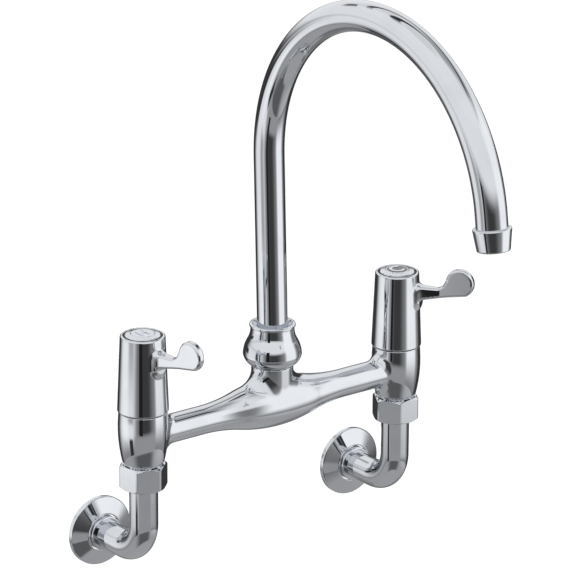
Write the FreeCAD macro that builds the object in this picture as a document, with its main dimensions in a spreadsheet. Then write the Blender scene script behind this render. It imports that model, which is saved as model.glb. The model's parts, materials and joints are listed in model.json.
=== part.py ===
import FreeCAD, Part
import math
import os
import types

import Sketcher

# Wall-mounted bridge kitchen faucet, millimetres.
# Row frame: origin on the wall face midway between the two inlets, +X along the bridge towards
# the cold side, +Y into the wall, +Z up. The spout and the levers reach out towards -Y.

SIZES = [
    # overall layout
    ("valve_spacing", 180.0, "centre to centre of the two inlets and valves"),
    ("wall_distance", 45.0, "valve and spout axes in front of the wall"),
    ("bridge_height", 71.5, "bridge axis above the inlet axes"),
    # fits
    ("thread_gap", 0.05, "radial clearance of a screwed joint"),
    ("running_gap", 0.05, "radial clearance of a turning fit"),
    ("seat_gap", 0.05, "clearance between stacked faces"),
    ("pipe_thread_radius", 10.48, "half inch pipe thread, outer radius"),
    # bridge body
    ("arm_radius", 8.2, "outer radius of the bridge arms"),
    ("belly_radius", 14.3, "radius of the bridge under the spout"),
    ("flare_length", 50.0, "half length of the swelling under the spout"),
    ("waterway_radius", 5.0, "bore of the bridge arms"),
    ("cup_top_rise", 15.0, "top of a valve cup above the bridge axis"),
    ("cup_depth", 15.0, "bottom of a valve cup below the bridge axis"),
    ("cup_top_radius", 13.7, "outer radius of a cup at its top"),
    ("cup_bottom_radius", 11.8, "outer radius of a cup at its bottom"),
    ("cup_side_radius", 88.0, "curve of the side of a cup"),
    ("cup_blend", 6.0, "fillet between an arm and its cup"),
    ("thread_depth", 8.5, "depth of the valve thread in a cup"),
    ("chamber_radius", 9.9, "valve chamber in a cup"),
    ("seat_rise", 5.5, "valve seat above the bottom of a cup"),
    ("port_radius", 6.4, "inlet port below the valve seat"),
    ("tail_ring_radius", 11.2, "plain ring between a cup and its union nut"),
    ("tail_ring_height", 1.4, "height of that ring"),
    ("tail_length", 8.1, "threaded tail below the ring"),
    ("neck_radius", 12.0, "neck that carries the spout"),
    ("neck_rise", 22.8, "top of the plain neck above the bridge axis"),
    ("neck_blend", 9.0, "fillet between the neck and the bridge"),
    ("neck_thread_height", 13.2, "thread above the plain neck"),
    ("socket_radius", 8.05, "bore that the spout tail turns in"),
    ("socket_floor_rise", 12.0, "floor of that bore above the bridge axis"),
    ("mixing_radius", 6.0, "waterway below the socket"),
    # legs, unions and wall flanges
    ("nut_flats", 24.5, "union nut across flats"),
    ("nut_height", 14.0, "height of a union nut"),
    ("nut_chamfer", 1.3, "height of the chamfer on the nut corners"),
    ("hot_nut_turn", 38.7, "corner direction of the hot union nut, degrees"),
    ("cold_nut_turn", 4.2, "corner direction of the cold union nut, degrees"),
    ("washer_thickness", 2.0, "union washer"),
    ("leg_radius", 8.2, "outer radius of the cranked inlet leg"),
    ("leg_bore_radius", 6.7, "bore of the leg"),
    ("leg_bend_radius", 19.0, "centre line radius of the elbow"),
    ("leg_collar_radius", 9.9, "collar of the leg inside the union nut"),
    ("leg_collar_height", 2.0, "height of that collar"),
    ("leg_shoulder_radius", 10.2, "plain shoulder of the leg in front of the wall"),
    ("leg_shoulder_length", 9.0, "length of that shoulder"),
    ("inlet_tail_length", 10.0, "thread of the leg behind the wall face"),
    ("flange_radius", 20.4, "wall flange"),
    ("flange_rim", 2.8, "plain rim of the wall flange"),
    ("flange_depth", 6.2, "wall flange, front to back"),
    ("flange_front_radius", 11.6, "front edge of the wall flange"),
    ("flange_wall", 1.2, "sheet thickness of the wall flange"),
    ("flange_gap", 0.25, "clearance of the flange round the leg thread"),
    # handles
    ("handle_gap", 0.5, "gap between a cup and its handle"),
    ("barrel_bottom_radius", 14.5, "handle barrel at its bottom"),
    ("barrel_top_radius", 12.7, "handle barrel at its top"),
    ("barrel_height", 44.5, "height of the handle barrel"),
    ("barrel_top_round", 1.2, "rounding of the top edge"),
    ("skirt_radius", 12.6, "inside of the barrel round the bonnet flange"),
    ("skirt_depth", 10.0, "depth of that space"),
    ("barrel_bore_radius", 11.2, "inside of the barrel round the bonnet"),
    ("barrel_bore_depth", 20.5, "depth of the barrel bore"),
    ("bush_radius", 6.0, "outer radius of the drive bush"),
    ("bush_cover", 11.5, "top of the bush socket below the top of the barrel"),
    ("recess_depth", 6.0, "floor of the index recess below the top of the barrel"),
    ("recess_radius", 11.1, "index recess"),
    ("lever_reach", 38.2, "valve axis to the centre of the lever paddle"),
    ("paddle_drop", 2.9, "paddle centre below the top of the barrel"),
    ("paddle_radius", 8.4, "radius of the lever paddle"),
    ("paddle_thickness", 4.6, "thickness of the lever paddle"),
    ("paddle_inner_angle", 14.0, "end of the hollow curve on the paddle, degrees above level"),
    ("paddle_low_angle", 62.0, "start of the lower edge of the paddle, degrees below level"),
    ("paddle_root_reach", 26.4, "valve axis to the foot of the paddle on the arm"),
    ("paddle_root_depth", 5.6, "lower corner of that foot below the top face of the arm"),
    ("paddle_root_curve", 15.0, "hollow curve from that foot up to the paddle"),
    ("arm_drop", 7.3, "top face of the lever arm below the top of the barrel"),
    ("arm_root_height", 10.0, "height of the lever arm at the barrel"),
    ("arm_tip_height", 4.2, "height of the lever arm at the paddle"),
    ("arm_root_width", 9.0, "width of the lever arm at the barrel"),
    ("arm_tip_width", 3.0, "width of the lever arm at the paddle"),
    ("boss_radius", 5.0, "half width of the lever boss"),
    ("boss_drop", 13.9, "centre of the lever boss below the top of the barrel"),
    ("boss_half_height", 7.4, "half height of the lever boss"),
    ("boss_reach", 14.9, "front of the lever boss from the valve axis"),
    ("boss_round", 1.6, "rounding of the lever boss"),
    ("lever_edge_round", 1.1, "rounding of the lever edges"),
    ("closed_angle", 9.0, "lever at its closed stop, degrees inwards of straight ahead"),
    ("hot_opening", 0.0, "how far the hot lever is open at rest, degrees"),
    ("cold_opening", 42.0, "how far the cold lever is open at rest, degrees"),
    # index caps and handle screws
    ("cap_gap", 0.4, "gap between index cap and recess"),
    ("cap_thickness", 2.8, "plate of the index cap"),
    ("cap_sink", 0.3, "top of the cap below the top of the barrel"),
    ("cap_chamfer", 1.3, "sloped edge of the index cap"),
    ("cap_skirt_radius", 9.6, "skirt that stands on the recess floor"),
    ("cap_skirt_wall", 1.3, "wall of that skirt"),
    ("letter_height", 7.0, "height of the index letter"),
    ("letter_width", 5.2, "width of the index letter"),
    ("letter_stroke", 1.1, "stroke of the index letter"),
    ("letter_depth", 0.35, "depth of the index letter"),
    ("screw_radius", 2.0, "handle screw shank"),
    ("screw_head_radius", 3.6, "handle screw head"),
    ("screw_head_height", 2.4, "height of that head"),
    ("screw_crown_radius", 2.5, "flat top of that head"),
    ("screw_head_gap", 0.5, "clearance round that head"),
    ("screw_seat_drop", 9.0, "underside of the screw head below the top of the barrel"),
    ("screw_length", 12.5, "handle screw below its head"),
    ("screw_slot", 1.0, "driver slot of the handle screw"),
    # ceramic disc valve
    ("bonnet_washer_thickness", 1.0, "washer between bonnet and cup"),
    ("bonnet_flange_radius", 12.2, "flange of the bonnet"),
    ("bonnet_flange_height", 2.5, "height of that flange"),
    ("bonnet_flats", 19.0, "bonnet hexagon across flats"),
    ("bonnet_hex_height", 6.5, "height of the bonnet hexagon"),
    ("guide_radius", 6.5, "guide tube of the bonnet"),
    ("cage_radius", 9.3, "cage of the bonnet that holds the discs"),
    ("cage_bore_radius", 8.3, "bore of the cage"),
    ("cage_ceiling", 12.0, "ceiling of the cage below the barrel bottom"),
    ("window_width", 8.0, "side windows of the cage"),
    ("window_height", 5.4, "height of the side windows"),
    ("spindle_radius", 4.0, "spindle"),
    ("spindle_drop", 12.7, "top of the spindle below the top of the barrel"),
    ("spindle_neck", 2.4, "spindle between its guide tube and its splines"),
    ("spline_length", 10.4, "splined end of the spindle"),
    ("spline_count", 20, "splines"),
    ("spline_groove_radius", 0.36, "groove between two splines"),
    ("foot_radius", 7.6, "foot of the spindle"),
    ("foot_height", 2.5, "height of the spindle foot"),
    ("lug_length", 3.0, "drive lug of the spindle foot"),
    ("lug_width", 1.8, "width of a drive lug"),
    ("lug_height", 1.2, "height of a drive lug"),
    ("lug_offset", 5.2, "drive lug from the axis"),
    ("lug_play", 0.08, "clearance of a lug in its slot"),
    ("oring_room", 1.15, "height of an O-ring groove over its depth"),
    ("oring_floor_radius", 2.6, "floor of the O-ring grooves of the spindle"),
    ("oring_low_rise", 6.0, "lower O-ring above the barrel bottom"),
    ("oring_high_rise", 11.0, "upper O-ring above the barrel bottom"),
    ("clip_floor_radius", 3.3, "floor of the circlip groove"),
    ("clip_outer_radius", 5.3, "circlip"),
    ("clip_thickness", 0.8, "thickness of the circlip"),
    ("clip_opening", 4.0, "opening of the circlip"),
    ("disc_radius", 8.1, "ceramic discs"),
    ("disc_thickness", 3.5, "thickness of a ceramic disc"),
    ("disc_port_radius", 2.3, "ports of the ceramic discs"),
    ("disc_port_offset", 4.6, "ports from the axis"),
    ("seal_inner_radius", 5.6, "seat seal"),
    # spout swivel
    ("tail_radius", 8.0, "spout tail that turns in the socket"),
    ("tail_lift", 1.0, "tail above the floor of the socket"),
    ("tail_bore_radius", 5.2, "bore of the spout tail"),
    ("tail_flange_radius", 9.9, "flange of the spout tail"),
    ("tail_flange_height", 2.9, "height of that flange"),
    ("tail_stub_height", 7.5, "stub of the tail inside the spout tube"),
    ("glide_thickness", 0.5, "glide ring under the tail flange"),
    ("spout_oring_floor_radius", 6.2, "floor of the O-ring grooves of the tail"),
    ("spout_oring_low", 5.0, "lower O-ring above the bottom of the tail"),
    ("spout_oring_high", 14.0, "upper O-ring above the bottom of the tail"),
    ("guide_ring_height", 3.0, "guide ring round the tube in the collar"),
    ("collar_height", 25.0, "spout collar"),
    ("collar_bottom_radius", 12.0, "collar at its bottom"),
    ("collar_foot_curve", 9.0, "curve from there to the widest place"),
    ("collar_belly_radius", 16.6, "widest place of the collar"),
    ("collar_belly_rise", 6.6, "widest place above the bottom of the collar"),
    ("collar_belly_curve", 18.0, "curve above the widest place"),
    ("collar_waist_radius", 14.5, "collar where its curve turns"),
    ("collar_waist_rise", 14.6, "height of that place"),
    ("collar_waist_curve", 16.0, "hollow curve above that place"),
    ("collar_neck_radius", 12.9, "collar below its top rim"),
    ("collar_neck_rise", 18.6, "start of the upper neck of the collar"),
    ("collar_top_radius", 12.6, "collar below its rounded rim"),
    ("collar_rim_height", 1.0, "height of the rounded rim"),
    ("collar_rim_curve", 0.9, "curve of the rounded rim"),
    ("collar_rim_width", 0.8, "rounded rim, measured inwards"),
    ("collar_lip_radius", 9.6, "lip over the guide ring"),
    ("collar_lip_height", 1.2, "height of that lip"),
    ("collar_mouth_radius", 11.3, "mouth of the recess round the tube"),
    # spout
    ("tube_radius", 8.7, "outer radius of the spout tube"),
    ("tube_bore_radius", 7.5, "bore of the spout tube"),
    ("entry_length", 3.6, "straight start of the tube inside the collar"),
    ("lean_angle", 2.1, "backward lean of the riser, degrees"),
    ("lean_bend_radius", 60.0, "bend at the foot of the leaning riser"),
    ("riser_length", 101.0, "straight leaning riser"),
    ("arch_radius", 97.3, "centre line radius of the arch"),
    ("arch_end_angle", 172.0, "direction of the tube at the end of the arch, from straight up"),
    ("outlet_run", 7.0, "straight tube between the arch and the nozzle"),
    ("nozzle_top_radius", 10.7, "nozzle at its top"),
    ("nozzle_bottom_radius", 9.0, "nozzle at its mouth"),
    ("nozzle_height", 12.4, "height of the nozzle"),
    ("nozzle_round", 1.0, "rounding of the nozzle edges"),
    ("nozzle_grip", 6.0, "length of tube inside the nozzle"),
    ("nozzle_chamber_radius", 8.0, "space for the flow straightener"),
    ("nozzle_lip_radius", 6.9, "mouth of the nozzle"),
    ("nozzle_lip_height", 1.2, "height of the mouth"),
    ("nozzle_washer_thickness", 1.1, "washer above the flow straightener"),
    ("nozzle_washer_radius", 6.5, "opening of that washer"),
    ("straightener_hole_radius", 0.85, "holes of the flow straightener"),
    ("straightener_inner_ring", 2.7, "inner ring of holes from the axis"),
    ("straightener_outer_ring", 5.3, "outer ring of holes from the axis"),
    ("straightener_inner_count", 6, "holes of the inner ring"),
    ("straightener_outer_count", 12, "holes of the outer ring"),
]

SHEET = "Sizes"
HALF = 0.5
OVERSHOOT = 1.0  # how far a cutting outline runs past the solid
MARGIN = 1.0  # how far an edge test stays clear of its neighbours
JUST_OVER = 1.0001  # keeps the arc of a rounded end under half a turn
UP = FreeCAD.Vector(0, 0, 1)
SIDES = {"hot": -1, "cold": 1}


class Size:
    """A dimension, or a formula of dimensions: its value now and the expression that binds it."""

    def __init__(self, value, text):
        self.value = value
        self.text = text

    def __add__(self, other):
        return formula(self, "+", other, lambda a, b: a + b)

    def __radd__(self, other):
        return formula(other, "+", self, lambda a, b: a + b)

    def __sub__(self, other):
        return formula(self, "-", other, lambda a, b: a - b)

    def __rsub__(self, other):
        return formula(other, "-", self, lambda a, b: a - b)

    def __mul__(self, other):
        return formula(self, "*", other, lambda a, b: a * b)

    def __rmul__(self, other):
        return formula(other, "*", self, lambda a, b: a * b)

    def __truediv__(self, other):
        return formula(self, "/", other, lambda a, b: a / b)

    def __neg__(self):
        return formula(0, "-", self, lambda a, b: a - b)


def as_size(number):
    return number if isinstance(number, Size) else Size(number, repr(number))


def formula(left, sign, right, work):
    left, right = as_size(left), as_size(right)
    return Size(work(left.value, right.value), "(%s %s %s)" % (left.text, sign, right.text))


def sine(angle):
    angle = as_size(angle)
    return Size(math.sin(math.radians(angle.value)), "sin(%s * 1 deg)" % angle.text)


def cosine(angle):
    angle = as_size(angle)
    return Size(math.cos(math.radians(angle.value)), "cos(%s * 1 deg)" % angle.text)


def make_sheet(document):
    """The spreadsheet of driving dimensions, and the same dimensions as names for the code."""
    sheet = document.addObject("Spreadsheet::Sheet", SHEET)
    named = {}
    for row, (alias, value, meaning) in enumerate(SIZES, start=1):
        sheet.set("A%d" % row, alias)
        sheet.set("B%d" % row, str(value))
        sheet.set("C%d" % row, meaning)
        sheet.setAlias("B%d" % row, alias)
        named[alias] = Size(value, "%s.%s" % (SHEET, alias))
    document.recompute()
    return types.SimpleNamespace(**named)


document = FreeCAD.newDocument("BridgeFaucet")
D = make_sheet(document)


# --- drawing tools -------------------------------------------------------------------------

def new_body(label, at=(0, 0, 0), axis=UP, angle=0):
    """An empty piece whose own origin lies at the given place of the row frame."""
    body = document.addObject("PartDesign::Body", label)
    body.Label = label
    x, y, z = [as_size(value) for value in at]
    turn = as_size(angle)
    place = FreeCAD.Vector(x.value, y.value, z.value)
    body.Placement = FreeCAD.Placement(place, FreeCAD.Rotation(axis, turn.value))
    for name, value in (("x", x), ("y", y), ("z", z)):
        body.setExpression("Placement.Base." + name, value.text)
    if isinstance(angle, Size):
        body.setExpression("Placement.Rotation.Angle", turn.text)
    return body


def new_sketch(body, plane, offset=(0, 0, 0)):
    sketch = body.newObject("Sketcher::SketchObject", body.Label + "_sketch")
    support = [item for item in body.Origin.OriginFeatures if item.Role == plane][0]
    sketch.AttachmentSupport = [(support, "")]
    sketch.MapMode = "FlatFace"
    shifts = [as_size(value) for value in offset]
    base = FreeCAD.Vector(*[value.value for value in shifts])
    sketch.AttachmentOffset = FreeCAD.Placement(base, FreeCAD.Rotation())
    for name, value in zip("xyz", shifts):
        if value.value:
            sketch.setExpression("AttachmentOffset.Base." + name, value.text)
    return sketch


def bind(sketch, kind, value, *where):
    value = as_size(value)
    index = sketch.addConstraint(Sketcher.Constraint(kind, *where, value.value))
    sketch.setExpression("Constraints[%d]" % index, value.text)


def pin_point(sketch, geometry, position, across, along):
    """Ties one point of a sketch to its two coordinates."""
    for kind, value, axis in (("DistanceX", across, -2), ("DistanceY", along, -1)):
        if isinstance(value, (int, float)) and value == 0:
            sketch.addConstraint(Sketcher.Constraint("PointOnObject", geometry, position, axis))
        else:
            bind(sketch, kind, value, -1, 1, geometry, position)


def arc_between(start, end, radius):
    """Arc of under half a turn, to the left of its chord for a positive radius."""
    chord = end - start
    reach = math.sqrt(max(radius ** 2 - (chord.Length / 2) ** 2, 0))
    side = FreeCAD.Vector(-chord.y, chord.x, 0).normalize() * math.copysign(1, radius)
    centre = (start + end) * HALF + side * reach
    first, last = (start, end) if radius > 0 else (end, start)
    angles = [math.atan2(point.y - centre.y, point.x - centre.x) for point in (first, last)]
    circle = Part.Circle(centre, FreeCAD.Vector(0, 0, 1), abs(radius))
    return Part.ArcOfCircle(circle, angles[0], angles[1])


def draw(sketch, corners, closed=True):
    """Outline of straight runs and arcs. A corner is (across, along) or (across, along, radius):
    with a radius, the run to the next corner is an arc, turning left for a positive one."""
    count = len(corners)
    points = [FreeCAD.Vector(as_size(c[0]).value, as_size(c[1]).value, 0) for c in corners]
    ends = []
    for index in range(count if closed else count - 1):
        start, end = points[index], points[(index + 1) % count]
        if len(corners[index]) == 2:
            geometry = sketch.addGeometry(Part.LineSegment(start, end), False)
            ends.append((geometry, 1, 2))
            continue
        radius = as_size(corners[index][2])
        geometry = sketch.addGeometry(arc_between(start, end, radius.value), False)
        size = radius if radius.value > 0 else -radius
        bind(sketch, "Radius", size, geometry)
        ends.append((geometry, 1, 2) if radius.value > 0 else (geometry, 2, 1))
    for index, (geometry, first, last) in enumerate(ends):
        following = index + 1
        if following < len(ends) or closed:
            other, other_first, _ = ends[following % len(ends)]
            sketch.addConstraint(
                Sketcher.Constraint("Coincident", geometry, last, other, other_first))
        pin_point(sketch, geometry, first, corners[index][0], corners[index][1])
    if not closed:
        geometry, _, last = ends[-1]
        pin_point(sketch, geometry, last, corners[-1][0], corners[-1][1])
    return sketch


def draw_circle(sketch, radius, across=0, along=0):
    centre = FreeCAD.Vector(as_size(across).value, as_size(along).value, 0)
    circle = Part.Circle(centre, FreeCAD.Vector(0, 0, 1), as_size(radius).value)
    geometry = sketch.addGeometry(circle, False)
    bind(sketch, "Radius", radius, geometry)
    pin_point(sketch, geometry, 3, across, along)
    return sketch


def box_corners(left, right, low, high):
    return [(left, low), (right, low), (right, high), (left, high)]


def hexagon_corners(flats):
    radius = flats / as_size(math.sqrt(3))
    return [(radius * cosine(60 * step), radius * sine(60 * step)) for step in range(6)]


def feature(body, kind, sketch):
    item = body.newObject("PartDesign::" + kind, body.Label + "_" + kind.lower())
    item.Profile = sketch
    return item


def turn(body, corners, cut=False, axis="V_Axis", offset=(0, 0, 0)):
    """Solid, or cut, of revolution of an outline drawn in the XZ plane."""
    sketch = draw(new_sketch(body, "XZ_Plane", offset), corners)
    item = feature(body, "Groove" if cut else "Revolution", sketch)
    item.ReferenceAxis = (sketch, [axis])
    item.Angle = 360
    document.recompute()
    return item


def raise_pad(body, sketch, height, both_ways=False, downwards=False):
    pad = feature(body, "Pad", sketch)
    pad.Length = as_size(height).value
    pad.setExpression("Length", as_size(height).text)
    pad.Midplane = both_ways
    pad.Reversed = downwards
    document.recompute()
    return pad


def cut_pocket(body, sketch, depth, both_ways=False, upwards=False):
    pocket = feature(body, "Pocket", sketch)
    pocket.Length = as_size(depth).value
    pocket.setExpression("Length", as_size(depth).text)
    pocket.Midplane = both_ways
    pocket.Reversed = upwards
    document.recompute()
    return pocket


def repeat_round(body, item, count):
    """Copies of one feature round the Z axis of its body."""
    pattern = body.newObject("PartDesign::PolarPattern", body.Label + "_pattern")
    pattern.Originals = [item]
    pattern.Axis = (item.Profile[0], ["N_Axis"])
    pattern.Angle = 360
    pattern.Occurrences = as_size(count).value
    pattern.setExpression("Occurrences", as_size(count).text)
    body.Tip = pattern
    document.recompute()
    return pattern


def round_edges(body, radius, wanted, spared=lambda point: False):
    """Fillet of the edges whose sample points are all wanted and not all spared."""
    base = body.Tip
    names = []
    for index, edge in enumerate(base.Shape.Edges, start=1):
        first, last = edge.ParameterRange
        samples = [edge.valueAt(first + (last - first) * step / 4) for step in range(5)]
        if all(map(wanted, samples)) and not all(map(spared, samples)):
            names.append("Edge%d" % index)
    if not names:
        raise ValueError("no edge to round on " + body.Label)
    fillet = body.newObject("PartDesign::Fillet", body.Label + "_fillet")
    fillet.Base = (base, names)
    fillet.Radius = as_size(radius).value
    fillet.setExpression("Radius", as_size(radius).text)
    document.recompute()
    return fillet


def sweep(body, path_corners, radii):
    """Tube of the given outer and inner radius along a path in the YZ plane."""
    path = draw(new_sketch(body, "YZ_Plane"), path_corners, closed=False)
    section = new_sketch(body, "XY_Plane")
    for radius in radii:
        draw_circle(section, radius)
    pipe = body.newObject("PartDesign::AdditivePipe", body.Label + "_pipe")
    pipe.Profile = section
    pipe.Spine = path
    document.recompute()
    return pipe


def near(value, target):
    return abs(value - target) < 0.02


# --- places shared by several pieces ---------------------------------------------------------

SPOUT_Y = -D.wall_distance
CUP_BOTTOM = D.bridge_height - D.cup_depth
TAIL_END = CUP_BOTTOM - D.tail_ring_height - D.tail_length
NUT_TOP = CUP_BOTTOM - D.tail_ring_height - D.seat_gap
LEG_TOP = TAIL_END - D.washer_thickness - D.seat_gap - D.seat_gap
BARREL_BASE = D.bridge_height + D.cup_top_rise + D.handle_gap
SEAT_DROP = D.cup_top_rise + D.handle_gap + D.cup_depth - D.seat_rise
SOCKET_BORE = D.pipe_thread_radius + D.thread_gap
NECK_TOP = D.bridge_height + D.neck_rise + D.neck_thread_height
TAIL_FLANGE_BASE = NECK_TOP + D.glide_thickness + D.seat_gap + D.seat_gap
TUBE_BASE = TAIL_FLANGE_BASE + D.tail_flange_height
TAIL_BASE = D.bridge_height + D.socket_floor_rise + D.tail_lift
DISC_TOP = D.cage_ceiling + D.foot_height + D.seat_gap + D.seat_gap

# heights above the bottom of a handle barrel
CAP_FLOOR = D.barrel_height - D.recess_depth
SCREW_SEAT = D.barrel_height - D.screw_seat_drop
BUSH_CEILING = D.barrel_height - D.bush_cover
SPINDLE_TOP = D.barrel_height - D.spindle_drop
SPLINE_LOW = SPINDLE_TOP - D.spline_length
GUIDE_TOP = SPLINE_LOW - D.spindle_neck
ARM_TOP = D.barrel_height - D.arm_drop


def valve_x(side):
    return D.valve_spacing * (HALF * SIDES[side])


def lever_angle(side):
    """Lever direction: the hot lever opens towards -X, the cold one towards +X."""
    opening = D.hot_opening if side == "hot" else D.cold_opening
    return -90 + SIDES[side] * (opening - D.closed_angle)


def at_valve(side, height=0, angle=0, label=""):
    return new_body(side + "_" + label, (valve_x(side), SPOUT_Y, height), UP, angle)


# --- bridge body -----------------------------------------------------------------------------

def cup_outline(sign):
    """Cup, plain ring and threaded tail, drawn on the side that faces away from the arm."""
    ring_low = -D.cup_depth - D.tail_ring_height
    low = ring_low - D.tail_length
    return [
        (0, D.cup_top_rise),
        (0, low),
        (sign * D.pipe_thread_radius, low),
        (sign * D.pipe_thread_radius, ring_low),
        (sign * D.tail_ring_radius, ring_low),
        (sign * D.tail_ring_radius, -D.cup_depth),
        (sign * D.cup_bottom_radius, -D.cup_depth, sign * D.cup_side_radius),
        (sign * D.cup_top_radius, D.cup_top_rise),
    ]


def cup_hollow():
    """Valve thread, chamber and inlet port of a cup."""
    thread_low = D.cup_top_rise - D.thread_depth
    seat = -D.cup_depth + D.seat_rise
    bottom = -D.cup_depth - D.tail_ring_height - D.tail_length
    return [
        (0, D.cup_top_rise + OVERSHOOT),
        (0, bottom - OVERSHOOT),
        (D.port_radius, bottom - OVERSHOOT),
        (D.port_radius, seat),
        (D.chamber_radius, seat),
        (D.chamber_radius, thread_low),
        (SOCKET_BORE, thread_low),
        (SOCKET_BORE, D.cup_top_rise + OVERSHOOT),
    ]


def bridge_body():
    """Arms from the middle outwards, cups, the swelling under the spout, neck and waterways."""
    body = new_body("bridge_body", (0, SPOUT_Y, D.bridge_height))
    reach = D.valve_spacing * HALF
    for sign in SIDES.values():
        turn(body, [
            (0, 0),
            (sign * reach, 0),
            (sign * reach, D.arm_radius),
            (0, D.arm_radius),
        ], axis="H_Axis")
    for side, sign in SIDES.items():
        turn(body, cup_outline(sign), offset=(valve_x(side), 0, 0))
        round_edges(body, D.cup_blend, lambda p: near(math.hypot(p.y, p.z), D.arm_radius.value)
                    and p.x * sign > MARGIN)
    turn(body, swelling_outline(), axis="H_Axis")
    neck_high = D.neck_rise + D.neck_thread_height
    turn(body, [
        (0, 0),
        (D.neck_radius, 0),
        (D.neck_radius, D.neck_rise),
        (D.pipe_thread_radius, D.neck_rise),
        (D.pipe_thread_radius, neck_high),
        (0, neck_high),
    ])
    round_edges(body, D.neck_blend, lambda p: near(math.hypot(p.x, p.y), D.neck_radius.value)
                and MARGIN < p.z < D.belly_radius.value + MARGIN)
    for side in SIDES:
        turn(body, cup_hollow(), cut=True, offset=(valve_x(side), 0, 0))
    turn(body, [
        (0, 0),
        (D.mixing_radius, 0),
        (D.mixing_radius, D.socket_floor_rise),
        (D.socket_radius, D.socket_floor_rise),
        (D.socket_radius, neck_high + OVERSHOOT),
        (0, neck_high + OVERSHOOT),
    ], cut=True)
    turn(body, box_corners(-reach, reach, 0, D.waterway_radius), cut=True, axis="H_Axis")


def swelling_outline():
    """Bell-shaped swelling of the bridge in three arcs, drawn below its axis."""
    swell = D.belly_radius - D.arm_radius
    curve = (D.flare_length * D.flare_length + swell * swell) / (4 * swell)
    middle = (D.belly_radius + D.arm_radius) * HALF
    return [
        (-D.flare_length, 0),
        (D.flare_length, 0),
        (D.flare_length, -D.arm_radius, curve),
        (D.flare_length * HALF, -middle, -curve),
        (-(D.flare_length * HALF), -middle, curve),
        (-D.flare_length, -D.arm_radius),
    ]


# --- unions, legs and wall flanges -----------------------------------------------------------

def union_nut(side):
    turned = D.hot_nut_turn if side == "hot" else D.cold_nut_turn
    body = at_valve(side, NUT_TOP - D.nut_height, turned, "union_nut")
    raise_pad(body, draw(new_sketch(body, "XY_Plane"), hexagon_corners(D.nut_flats)), D.nut_height)
    chamfer_corners(body, D.nut_flats, D.nut_height, D.nut_chamfer)
    lip = LEG_TOP - D.leg_collar_height - D.seat_gap - NUT_TOP + D.nut_height
    turn(body, [
        (0, -OVERSHOOT),
        (D.leg_radius + 2 * D.thread_gap, -OVERSHOOT),
        (D.leg_radius + 2 * D.thread_gap, lip),
        (SOCKET_BORE, lip),
        (SOCKET_BORE, D.nut_height + OVERSHOOT),
        (0, D.nut_height + OVERSHOOT),
    ], cut=True)


def chamfer_corners(body, flats, height, drop):
    """Cones that take the corners off a hexagon at both ends."""
    inner = flats * HALF
    corner = flats / as_size(math.sqrt(3))
    outer = corner + OVERSHOOT
    slope = (outer - inner) * drop / (corner - inner)
    turn(body, [(inner, height), (outer, height - slope), (outer, height)], cut=True)
    turn(body, [(inner, 0), (outer, 0), (outer, slope)], cut=True)


def union_washer(side):
    body = at_valve(side, TAIL_END - D.seat_gap, 0, "union_washer")
    turn(body, box_corners(D.leg_bore_radius, D.pipe_thread_radius,
                           -D.washer_thickness, 0))


def inlet_leg(side):
    """Cranked leg: collar under the union washer, elbow, shoulder and thread into the wall."""
    body = at_valve(side, LEG_TOP, 0, "inlet_leg")
    bend = D.leg_bend_radius
    tail_end = D.wall_distance + D.inlet_tail_length
    sweep(body, [
        (0, 0),
        (0, bend - LEG_TOP, bend),
        (bend, -LEG_TOP),
        (tail_end, -LEG_TOP),
    ], (D.leg_radius, D.leg_bore_radius))
    turn(body, box_corners(D.leg_bore_radius, D.leg_collar_radius, -D.leg_collar_height, 0))
    for end, outer, length in (
            (D.wall_distance, D.leg_shoulder_radius, D.leg_shoulder_length),
            (tail_end, D.pipe_thread_radius, D.inlet_tail_length)):
        ring = new_sketch(body, "XZ_Plane", (0, 0, -end))
        for radius in (outer, D.leg_bore_radius):
            draw_circle(ring, radius, 0, -LEG_TOP)
        raise_pad(body, ring, length)


def wall_flange(side):
    """Pressed cover that slides on the thread of the leg and covers the hole in the wall."""
    body = new_body(side + "_wall_flange", (valve_x(side), 0, 0), FreeCAD.Vector(1, 0, 0), 90)
    bore = D.pipe_thread_radius + D.flange_gap
    inside = D.flange_radius - D.flange_wall
    turn(body, [
        (bore, D.flange_depth - D.flange_wall),
        (D.flange_front_radius, D.flange_depth - D.flange_wall),
        (inside, D.flange_rim - D.flange_wall * HALF),
        (inside, 0),
        (D.flange_radius, 0),
        (D.flange_radius, D.flange_rim),
        (D.flange_front_radius, D.flange_depth),
        (bore, D.flange_depth),
    ])


# --- handles ---------------------------------------------------------------------------------

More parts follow.
